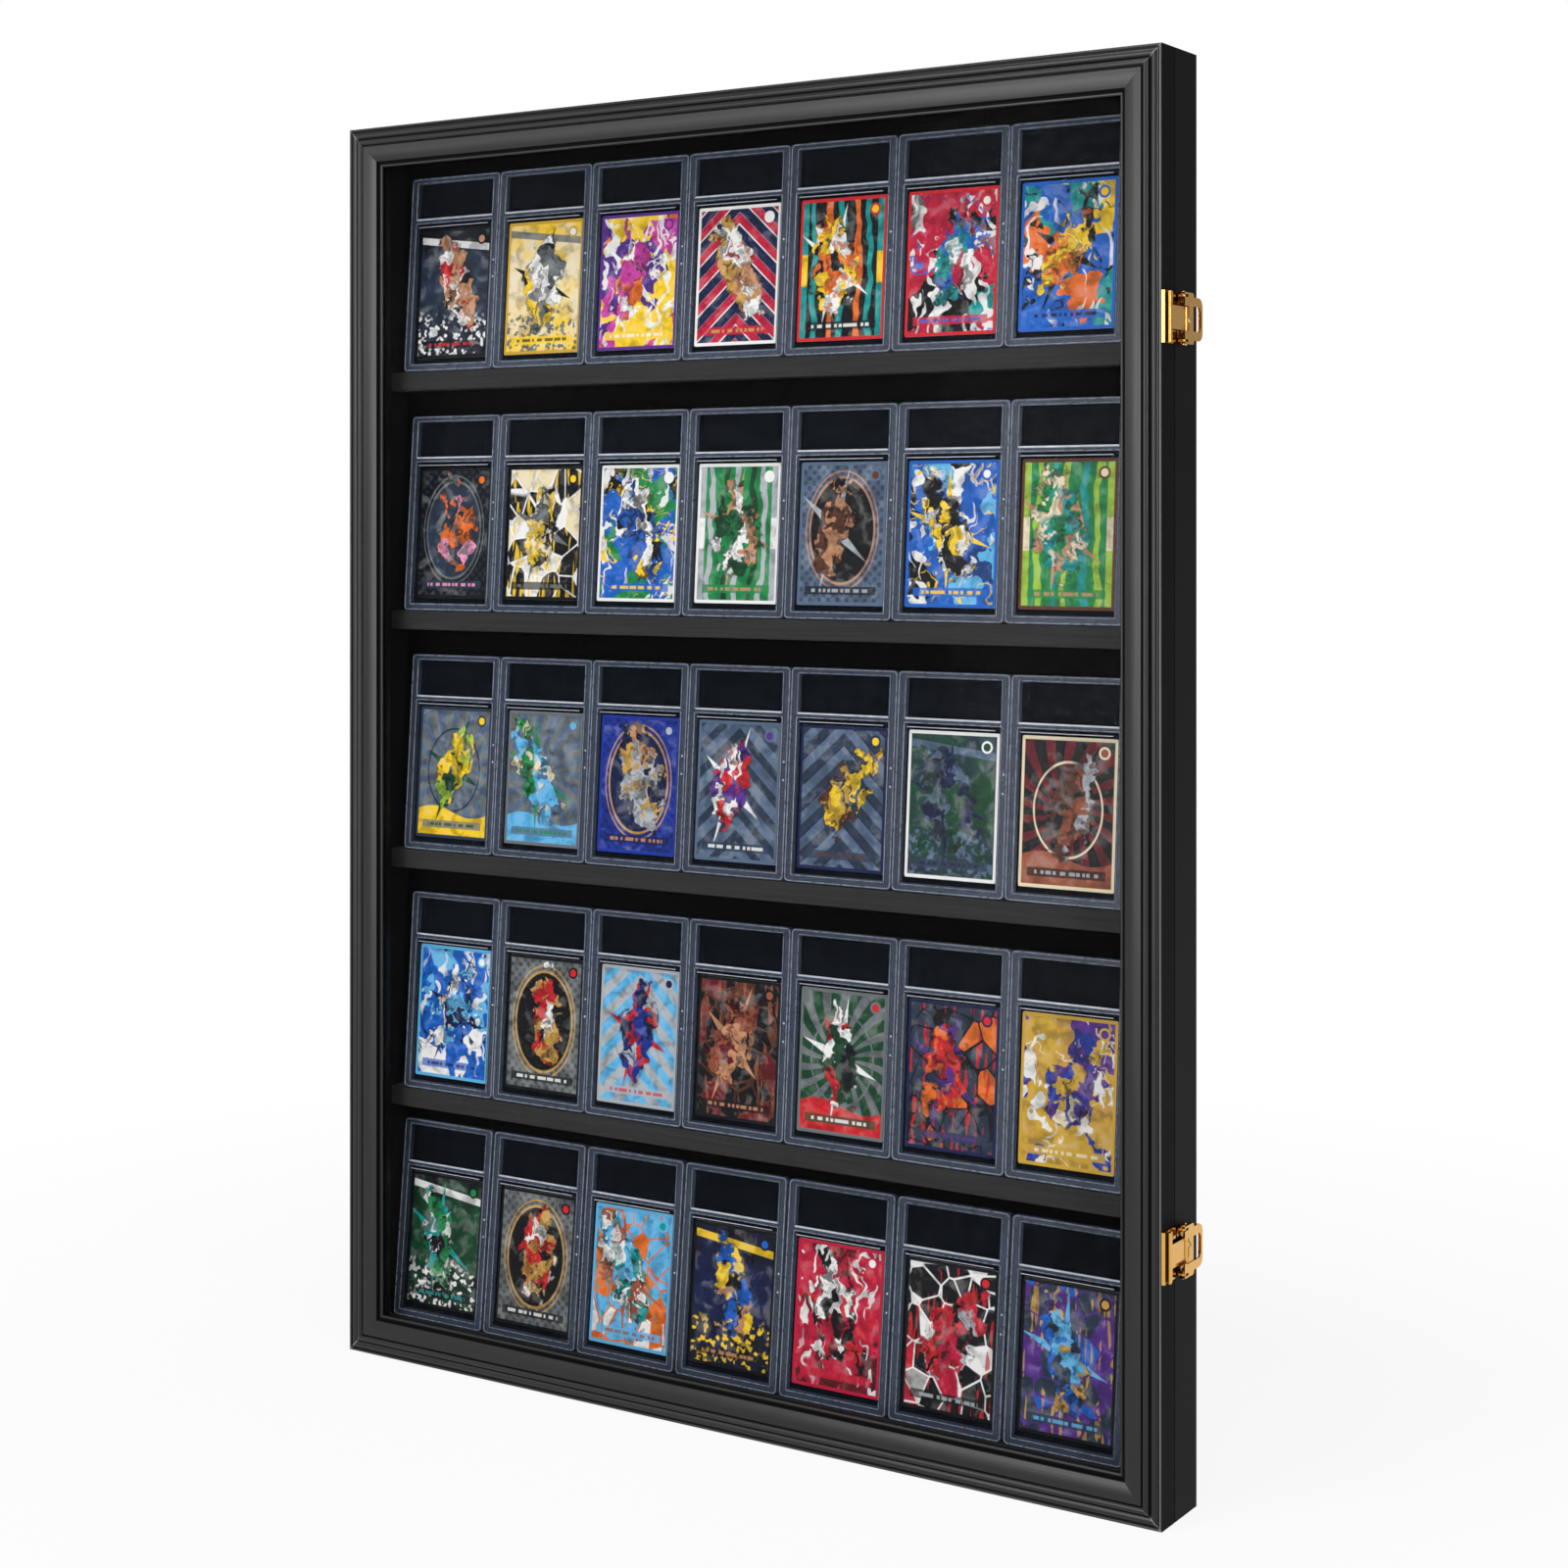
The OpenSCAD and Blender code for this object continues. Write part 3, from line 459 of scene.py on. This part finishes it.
def bead_ring(work, width, low, high, corner, band):
    """A closed bead round a rectangle that is centred across and runs from low to high."""
    before = set(work.faces)
    made = bmesh.ops.create_grid(work, x_segments=1, y_segments=1, size=0.5)
    middle = Matrix.Translation((0, (low + high) / 2 * MM, 0))
    size = Matrix.Diagonal((width * MM, (high - low) * MM, 1, 1))
    bmesh.ops.transform(work, matrix=middle @ size, verts=made["verts"])
    bmesh.ops.bevel(work, geom=made["verts"], offset=corner * MM, segments=CORNER_STEPS, profile=0.5,
                    affect="VERTICES", material=-1)
    inside = [f for f in work.faces if f not in before]
    for lift in (BEAD_LIFT, -BEAD_LIFT):
        bmesh.ops.inset_region(work, faces=inside, thickness=band / 2 * MM, depth=lift,
                               use_boundary=True, use_even_offset=True)
    bmesh.ops.delete(work, geom=inside, context="FACES_ONLY")
    ring = [f for f in work.faces if f not in before]
    rims = {e for f in ring for e in f.edges if e.is_boundary}
    bmesh.ops.bridge_loops(work, edges=list(rims))


bead_work = bmesh.new()
bead_ring(bead_work, 80.7, 0.4, 140.6, 2.8, 0.75)
bead_ring(bead_work, 2 * RAIL + 2.2, BOTTOM_RAIL - 1.1, BAR_FOOT + 0.8, 1.0, 0.55)
bead_ring(bead_work, 2 * RAIL + 1.8, LABEL_FOOT - 0.7, LABEL_TOP + 0.9, 1.0, 0.45)
bmesh.ops.recalc_face_normals(bead_work, faces=bead_work.faces)
beads = bpy.data.meshes.new("holder_beads")
bead_work.to_mesh(beads)
bead_work.free()
print("beads of one holder", len(beads.polygons), "faces")

# %% [markdown]
# ## Weld marks and the bright bar
# The two halves of a holder are welded at a few spots. Two of them show on the right rail as
# small bright dots. The bar under the label window is a step in the plastic, made as a bevelled
# strip whose pale colour is a painted highlight.

# %% Welds and bar
mark_work = bmesh.new()
for height in (66.0, 78.0):
    dot = bmesh.ops.create_uvsphere(mark_work, u_segments=8, v_segments=4, radius=0.75 * MM)
    flat = Matrix.Translation((37.9 * MM, height * MM, 0)) @ Matrix.Diagonal((1, 1, 0.5, 1))
    bmesh.ops.transform(mark_work, matrix=flat, verts=dot["verts"])
STRIPS = [(0, 110.7, 0, 2 * RAIL, 1.1), (-1.5, 105.2, -0.75, 2 * RAIL - 5, 0.5)]
for x, height, out, length, width in STRIPS:
    strip = bmesh.ops.create_cube(mark_work, size=1.0)
    place = Matrix.Translation((x * MM, height * MM, out * MM))
    size = Matrix.Diagonal((length * MM, width * MM, 0.5 * MM, 1))
    bmesh.ops.transform(mark_work, matrix=place @ size, verts=strip["verts"])
    edges = list({e for v in strip["verts"] for e in v.link_edges})
    bmesh.ops.bevel(mark_work, geom=edges, offset=0.12 * MM, segments=2, profile=0.5,
                    affect="EDGES", material=-1)
marks = bpy.data.meshes.new("holder_marks")
mark_work.to_mesh(marks)
mark_work.free()
print("marks of one holder", len(marks.polygons), "faces")

# %% Clear beads and bars on every row
# The beads' pale, half-opaque plastic is a painted highlight.
bead_highlight_finish = Finish("bead_plastic", Roughness=0.2, IOR=1.52)
sparkle = bead_highlight_finish.noise(300.0, 3.0)
bead_highlight_finish.set("Base Color", bead_highlight_finish.mix(sparkle, light(128, 138, 160), light(192, 200, 216)))
bead_highlight_finish.set("Alpha", sparkle * 0.6 + 0.22)
# The same pale plastic colours the weld dots and the bar strips; on the bar strips it is a painted highlight.
bar_finish = Finish("bar_plastic", Roughness=0.15, IOR=1.52)
pale_mottle = bar_finish.noise(220.0, 3.0)
bar_finish.set("Base Color", bar_finish.mix(pale_mottle, light(170, 178, 192), light(226, 230, 238)))
bar_finish.set("Alpha", pale_mottle * 0.4 + 0.6)
for row in rows:
    for name, drawing, finish in (("beads", beads, bead_highlight_finish), ("welds", marks, bar_finish)):
        row_work = bmesh.new()
        for column in range(COLUMNS):
            add_copy(row_work, drawing, row.seat(column, row.shell_foot))
        piece(f"holder_{name}_{row.number}", row_work, [finish], "case")
print("beads and welds on", ROWS, "rows")

# %% [markdown]
# ## The inks of the cards
# Each card is a plain design of its own: a border, a background pattern, a cluster of colour in
# the middle and a bare name bar. The inks have names, and a card is a line of those names.

# %% Inks
INKS = {
    "black": (13, 13, 16), "white": (242, 242, 240), "silver": (176, 182, 188), "grey": (110, 116, 118),
    "slate": (44, 58, 78), "steel": (88, 108, 134), "navy": (18, 30, 74), "royal": (28, 54, 156),
    "blue": (24, 98, 196), "sky": (96, 182, 232), "teal": (10, 152, 150), "forest": (22, 74, 44),
    "green": (28, 136, 74), "lime": (158, 196, 60), "yellow": (250, 208, 36), "mustard": (206, 164, 52),
    "gold": (206, 160, 76), "cream": (236, 222, 188), "tan": (198, 142, 104), "brown": (94, 54, 34),
    "copper": (156, 84, 58), "orange": (232, 112, 34), "red": (208, 34, 42), "crimson": (196, 26, 62),
    "maroon": (104, 20, 30), "purple": (88, 46, 140), "magenta": (204, 64, 164), "pink": (240, 156, 192),
}
INK_PLACES = ("border", "ground", "shade", "first", "second", "third")
CARDS = [
    ["haze black black slate tan white red", "haze mustard yellow cream white grey black",
     "strokes purple yellow purple magenta orange white", "chevrons white crimson navy white tan gold",
     "bands red black teal yellow orange white", "strokes red crimson black white teal blue",
     "strokes blue blue teal yellow orange black"],
    ["arch black slate black orange grey pink", "shatter black black white yellow cream grey",
     "strokes white blue green white black yellow", "bands white green silver white forest tan",
     "arch steel black steel brown tan silver", "strokes blue blue sky white black yellow",
     "bands brown green lime cream teal tan"],
    ["burst slate grey steel yellow lime forest", "burst grey steel grey sky cream green",
     "arch royal navy royal silver gold tan", "chevrons steel slate steel purple red white",
     "chevrons navy slate steel yellow mustard brown", "haze white slate forest forest steel navy",
     "burst cream black maroon copper brown silver"],
    ["strokes sky blue blue white sky navy", "arch black black grey red gold white",
     "chevrons silver silver sky navy royal red", "shatter black black brown copper maroon tan",
     "burst grey forest grey red black white", "shatter navy slate black red orange purple",
     "strokes mustard mustard gold purple royal cream"],
    ["haze black black forest green white teal", "arch black black grey red gold white",
     "shatter sky sky orange teal white copper", "haze black black navy blue yellow tan",
     "strokes crimson crimson maroon white black red", "shatter black black white red crimson silver",
     "shatter black slate purple gold blue sky"],
]
print("cards", sum(len(line) for line in CARDS), "inks", len(INKS))

# %% [markdown]
# ## Drawing on a card
# A card carries a UV map that runs from 0 to 1 over its face, and its inks as colours kept on
# its points. A print works in millimetres from the card's middle. The cluster in the middle is
# cut from cells that a broad noise bends, and its outline is roughened by a finer one. A soft
# shading over the whole print keeps its inks from looking flat.

# %% Prints
class Print(Finish):
    """The printed face of a card."""

    def __init__(self, name):
        super().__init__(name, Specular_IOR_Level=0.1)
        u, v, _ = self.split(self.node("ShaderNodeUVMap", {"uv_map": "print"}))
        self.x = (u - 0.5) * (CARD_W / MM)
        self.y = (v - 0.5) * (CARD_H / MM)
        self.inks = {}
        for ink in INK_PLACES:
            self.inks[ink] = self.node("ShaderNodeAttribute", {"attribute_name": ink})
        self.seed = self.inks["border"].output("Alpha")
        self.spot = self.node("ShaderNodeCombineXYZ", None, {0: self.x, 1: self.y, 2: self.seed * 500})

    def pick(self, value, *places):
        """Steps through inks as a value climbs from 0 to 1."""
        colour = self.inks[places[0]]
        for step, place in enumerate(places[1:], start=1):
            colour = self.mix(value.above(step / len(places), 0.01), colour, self.inks[place])
        return colour

    def bent(self, size, reach):
        """The spot pushed about by a broad noise, so that straight shapes come out bent."""
        push = self.node("ShaderNodeTexNoise", None, {"Vector": self.spot, "Scale": 1 / size}, output=1)
        return self.node("ShaderNodeVectorMath", {"operation": "MULTIPLY_ADD"},
                         {0: push, 1: (reach, reach, 0), 2: self.spot})

    def cells(self, size, feature="F1", output=0, stretch=(1, 1, 1), spot=None):
        placed = self.node("ShaderNodeMapping", None, {"Vector": spot or self.spot, "Scale": stretch})
        return self.node("ShaderNodeTexVoronoi", {"feature": feature},
                         {"Vector": placed, "Scale": 1 / size}, output)

    def chance(self, size, stretch=(1, 1, 1), spot=None):
        """One random number for each cell."""
        return self.node("ShaderNodeSeparateColor", None, {0: self.cells(size, "F1", 1, stretch, spot)})

    def finish_print(self, background):
        """Lays the cluster, the name bar and the border over a background."""
        wobble = self.noise(0.09, 3.0, spot=self.spot)
        lean, breadth, side = [(self.seed * turn).fraction() for turn in (7.3, 13.9, 29.7)]
        x = self.x + self.y * (lean - 0.5) * 0.9 + (side - 0.5) * 12
        y = self.y - 3
        level_ray = abs(x) / 27 + abs(y + x * (side - 0.2)) / 5
        steep_ray = abs(y) / 40 + abs(x - y * lean * 0.4) / 4
        flare = level_ray.least(steep_ray).below(1, 0.05) * side.above(0.6)
        colour = self.mix(flare, background, self.inks["third"])
        reach = far(x / (breadth * 7 + 11), y / (lean * 10 + 25)) + (wobble - 0.5) * 1.9
        curls = self.bent(9.0, 22.0)
        parts = self.pick(self.chance(8.5, (1, 0.6, 1), curls), "first", "second", "first", "third", "ground")
        small = self.chance(3.2, (1, 0.7, 1), curls)
        parts = self.mix(small.above(0.84) * 0.8, parts, self.inks["second"])
        parts = self.mix(small.below(0.13) * 0.7, parts, light(14, 12, 12))
        folds = self.noise(0.16, 4.0, spot=curls)
        parts = self.mix(folds.between(0.30, 0.46, 0.1) * 0.45, parts, light(16, 14, 16))
        colour = self.mix(reach.between(0.94, 1.05, 0.05) * 0.6, colour, light(14, 14, 16))
        colour = self.mix(reach.below(1, 0.06), colour, parts)
        shading = self.noise(0.1, 5.0, spot=self.bent(14.0, 18.0))
        colour = self.mix(shading.below(0.44, 0.16) * 0.45, colour, light(12, 12, 16))
        colour = self.mix(shading.above(0.6, 0.16) * 0.12, colour, light(244, 244, 240))
        bar = self.y.between(-40, -34.5, 0.3) * abs(self.x).below(27, 0.3)
        colour = self.mix(bar * 0.8, colour, self.inks["ground"])
        blocks = self.node("ShaderNodeTexNoise", {"noise_dimensions": "1D"},
                           {"W": self.x * 0.3 + self.seed * 90, "Scale": 1.0, "Detail": 0.0})
        words = self.y.between(-38.4, -36.2, 0.3) * blocks.above(0.45, 0.03) * abs(self.x).below(22, 0.3)
        colour = self.mix(words * 0.8, colour, self.inks["third"])
        badge = far(self.x - 24, self.y - 38)
        colour = self.mix(badge.below(4, 0.3), colour, self.inks["border"])
        colour = self.mix(badge.below(2.6, 0.3), colour, self.inks["first"])
        edge = abs(self.x).above(31, 0.3).most(abs(self.y).above(44.8, 0.3))
        self.set("Base Color", self.mix(edge, colour, self.inks["border"]))
        self.set("Roughness", wobble * 0.16 + 0.22)


def haze():
    """Soft patches over a fading ground, with a crowd of specks low down."""
    card = Print("print_haze")
    patches = card.noise(0.06, 4.0, spot=card.spot)
    fade = (patches + card.y * 0.006).between(0.35, 0.7, 0.3)
    colour = card.mix(fade, card.inks["ground"], card.inks["shade"])
    specks = card.chance(2.4).above(0.72) * (card.y + patches * 30).below(-2, 8)
    colour = card.mix(specks, colour, card.inks["second"])
    stripe = (card.y + card.x * 0.12).between(33, 38, 0.3)
    card.finish_print(card.mix(stripe * 0.9, colour, card.inks["second"]))
    return card


def strokes():
    """Bent patches of paint with a few thin brushed lines over them."""
    card = Print("print_strokes")
    curls = card.bent(13.0, 34.0)
    patches = card.chance(15, (1, 0.7, 1), curls)
    colour = card.pick(patches, "ground", "ground", "shade", "first", "ground", "second", "ground", "shade")
    waves = card.node("ShaderNodeTexWave", {"wave_type": "RINGS"},
                      {"Vector": curls, "Scale": 0.05, "Distortion": 4.0, "Detail": 2.0}, output=1)
    brushed = waves.between(0.42, 0.6, 0.05) * card.noise(0.05, 2.0, spot=card.spot).above(0.5, 0.05)
    dabs = card.chance(7, (2.2, 0.6, 1), card.bent(20.0, 40.0)).above(0.84) * abs(card.x).above(8, 6)
    colour = card.mix(dabs * 0.9, colour, light(240, 240, 238))
    card.finish_print(card.mix(brushed, colour, card.inks["third"]))
    return card


prints = {"haze": haze(), "strokes": strokes()}
print("prints", sorted(prints))

# %% [markdown]
# ## More backgrounds
# The other backgrounds are drawn from distances: rays from the angle round a point, an arch
# from a stretched circle, chevrons from the distance across added to the height, and cracks
# from the distance to the nearest cell edge.

# %% Rays, arches and chevrons
def burst():
    card = Print("print_burst")
    angle = (card.y - 2).maths("ARCTAN2", card.x)
    rays = (angle * 18 + far(card.x, card.y) * 0.12).sine().above(0.1, 0.3)
    colour = card.mix(rays, card.inks["ground"], card.inks["shade"])
    ring = far(card.x, (card.y - 2) * 0.8)
    colour = card.mix(ring.between(23, 24.2, 0.3), colour, card.inks["border"])
    foot = (card.y + (card.x * 0.09).sine() * 4).below(-28, 0.5)
    card.finish_print(card.mix(foot, colour, card.inks["first"]))
    return card


def arch():
    card = Print("print_arch")
    shape = far(card.x / 24, (card.y - 2) / 34)
    lace = ((card.x * 0.9).sine() * (card.y * 0.9).sine()).above(0.2, 0.3)
    colour = card.mix(lace * 0.5, card.inks["shade"], card.inks["ground"])
    colour = card.mix(shape.below(1, 0.03), colour, card.inks["ground"])
    lines = shape.between(1, 1.05).most(shape.between(1.13, 1.16))
    card.finish_print(card.mix(lines, colour, card.inks["second"]))
    return card


def chevrons():
    card = Print("print_chevrons")
    climb = (abs(card.x) * 0.9 + card.y) / 17
    colour = card.pick(climb.fraction(), "ground", "ground", "shade", "shade")
    lines = climb.fraction().below(0.07).most((climb * 2).fraction().below(0.04) * 0.5)
    card.finish_print(card.mix(lines, colour, card.inks["border"]))
    return card


prints.update(burst=burst(), arch=arch(), chevrons=chevrons())
print("prints", sorted(prints))

# %% Bands and cracks
def bands():
    card = Print("print_bands")
    sway = card.noise(0.04, 2.0, spot=card.spot)
    across = (card.x + sway * 14) / 21
    colour = card.pick(across.fraction(), "ground", "shade", "ground", "ground", "second")
    sides = abs(card.x).between(26.5, 31, 0.3)
    side_colour = card.pick((card.y / 62 + 0.5).fraction(), "shade", "first", "shade")
    card.finish_print(card.mix(sides, colour, side_colour))
    return card


def shatter():
    card = Print("print_shatter")
    cracks = card.cells(15, "DISTANCE_TO_EDGE").below(0.035, 0.02)
    colour = card.pick(card.chance(15), "ground", "ground", "shade", "ground", "second")
    streaks = card.chance(5, (2.5, 0.35, 1)).above(0.86)
    colour = card.mix(streaks * 0.8, colour, card.inks["first"])
    card.finish_print(card.mix(cracks, colour, card.inks["shade"]))
    return card


prints.update(bands=bands(), shatter=shatter())
print("prints", sorted(prints))

# %% [markdown]
# ## The cards
# A card is a thin box with its corners rounded by a bevel. Its front takes the print and the
# rest stays bare board. The new cards stand for the plain CAD cards and lie inside them.

# %% Card drawing
board = Finish("card_board", Roughness=0.7)
pulp = board.noise(900.0, 3.0)
board.set("Base Color", board.mix(pulp, light(196, 192, 184), light(232, 230, 224)))

card_work = bmesh.new()
blank = bmesh.ops.create_cube(card_work, size=1.0)
card_size = Matrix.Diagonal((CARD_W, CARD_H, CARD_T, 1))
card_middle = Matrix.Translation((0, CARD_H / 2, -CARD_T / 2))
bmesh.ops.transform(card_work, matrix=card_middle @ card_size, verts=blank["verts"])
corners = [e for e in card_work.edges if abs(e.verts[0].co.z - e.verts[1].co.z) > CARD_T / 2]
bmesh.ops.bevel(card_work, geom=corners, offset=1.2 * MM, segments=3, profile=0.5,
                affect="EDGES", material=-1)
printed = card_work.loops.layers.uv.new("print")
for face in card_work.faces:
    face.normal_update()
    face.material_index = 1 if face.normal.z > 0.5 else 0
    for corner in face.loops:
        corner[printed].uv = (corner.vert.co.x / CARD_W + 0.5, corner.vert.co.y / CARD_H)
card_drawing = bpy.data.meshes.new("card")
card_work.to_mesh(card_drawing)
card_work.free()
print("card", len(card_drawing.polygons), "faces")

# %% Rows of cards
def row_of_cards(row, designs):
    work = bmesh.new()
    work.loops.layers.uv.new("print")
    colours = {place: work.verts.layers.float_color.new(place) for place in INK_PLACES}
    motifs = sorted({design.split()[0] for design in designs})
    for column, design in enumerate(designs):
        motif, *inks = design.split()
        faces_before = len(work.faces)
        fresh = add_copy(work, card_drawing, row.seat(column, row.card_foot))
        seed = ((row.number * 7 + column) * 0.381966) % 1
        for point in fresh:
            for place, ink in zip(INK_PLACES, inks):
                point[colours[place]] = light(*INKS[ink])[:3] + (seed,)
        work.faces.ensure_lookup_table()
        for face in work.faces[faces_before:]:
            face.material_index *= 1 + motifs.index(motif)
    cards = piece(f"printed_cards_{row.number}", work, [board, *[prints[m] for m in motifs]], "case")
    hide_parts(f"cards_{row.number}")


for row, designs in zip(rows, CARDS):
    row_of_cards(row, designs)
print("rows of cards", len(CARDS))

# %% [markdown]
# ## Stage and light
# The floor and the background are white. The floor shows its own white to the camera, to
# mirrors and through glass, but keeps part of its real shade, so the case still drops a soft
# shadow. A large lamp in front carries most of the light. A small one near the left, a strip at
# the right and one overhead draw the highlights along the moulding. Polished parts also mirror
# the world, which is brighter in front of the case than behind it.

# %% Floor
FLOOR_DROP = 0.5 * MM
FLOOR_GLOW = 0.9
floor_finish = Finish("floor_white", Base_Color=light(246, 246, 246), Roughness=0.9)
path = floor_finish.node("ShaderNodeLightPath")
seen = path.output("Is Camera Ray").most(path.output("Is Glossy Ray"))
direct = seen.most(path.output("Is Transmission Ray"))
floor_x, floor_y, _ = floor_finish.split(floor_finish.place())
away = far(floor_x, floor_y).above(0.75, 0.7)
glow = floor_finish.node("ShaderNodeEmission", None, {"Color": (1, 1, 1, 1), "Strength": 1.0})
shaded = Wire(floor_finish, floor_finish.shader.outputs[0])
share = direct * (away * (1 - FLOOR_GLOW) + FLOOR_GLOW)
shown = floor_finish.node("ShaderNodeMixShader", None, {0: share, 1: shaded, 2: glow})
floor_finish.connect(floor_finish.surface, shown)

floor_work = bmesh.new()
bmesh.ops.create_grid(floor_work, x_segments=1, y_segments=1, size=8)
bmesh.ops.translate(floor_work, verts=floor_work.verts, vec=(0, 0, cad_box[0][2] - FLOOR_DROP))
floor_mesh = bpy.data.meshes.new("floor")
floor_work.to_mesh(floor_mesh)
floor_work.free()
floor_mesh.materials.append(floor_finish.material)
floor = bpy.data.objects.new("floor", floor_mesh)
bpy.context.scene.collection.objects.link(floor)
print("floor at", round(cad_box[0][2] - FLOOR_DROP, 4))

# %% World
SKY_LEVEL = 0.15
FRONT_LEVEL = 0.8
BEHIND_LEVEL = 0.45
world = bpy.data.worlds.new("studio")
world.use_nodes = True
bpy.context.scene.world = world
tree = world.node_tree


def world_node(kind, settings, *values):
    """A node of the world, with the given values or links on its first sockets."""
    new = tree.nodes.new(kind)
    for name, value in settings.items():
        setattr(new, name, value)
    for socket, value in zip(new.inputs, values):
        if hasattr(value, "is_output"):
            tree.links.new(value, socket)
        else:
            socket.default_value = value
    return new


rays = world_node("ShaderNodeLightPath", {})
direction = world_node("ShaderNodeSeparateXYZ", {}, world_node("ShaderNodeTexCoord", {}).outputs["Generated"])
depth = direction.outputs["Y"]
around = world_node("ShaderNodeMapRange", {}, depth, -0.4, 0.7, FRONT_LEVEL, BEHIND_LEVEL).outputs[0]
mirrored = world_node("ShaderNodeMath", {"operation": "MAXIMUM"},
                      rays.outputs["Is Glossy Ray"], rays.outputs["Is Transmission Ray"]).outputs[0]
unseen = world_node("ShaderNodeMapRange", {}, mirrored, 0.0, 1.0, SKY_LEVEL, around).outputs[0]
seen_rays = rays.outputs["Is Camera Ray"]
level = world_node("ShaderNodeMapRange", {}, seen_rays, 0.0, 1.0, unseen, 1.0).outputs[0]
tree.links.new(level, tree.nodes["Background"].inputs["Strength"])
tree.nodes["Background"].inputs["Color"].default_value = (1, 1, 1, 1)
print("world level", SKY_LEVEL, "and behind", BEHIND_LEVEL)

# %% Lamps
def lamp(name, place, target, size, watts):
    data = bpy.data.lights.new(name, "AREA")
    data.shape = "RECTANGLE"
    data.size, data.size_y = size
    data.energy = watts
    new = bpy.data.objects.new(name, data)
    new.location = place
    new.rotation_euler = (Vector(target) - Vector(place)).to_track_quat("-Z", "Y").to_euler()
    bpy.context.scene.collection.objects.link(new)
    print("lamp", name, watts, "W")


lamp("front", (-0.55, -2.3, 0.3), (0, 0, 0), (1.0, 1.5), 25)
lamp("near_left", (-0.9, -1.25, 0.5), (-0.05, 0, 0.4), (1.0, 0.4), 2.5)
lamp("side_strip", (2.2, -1.1, 0.6), (0, 0, 0), (0.15, 1.6), 18)
lamp("top", (0.1, -1.0, 2.4), (0, 0, 0.2), (1.6, 0.5), 31)
bpy.context.scene.view_settings.view_transform = "Standard"
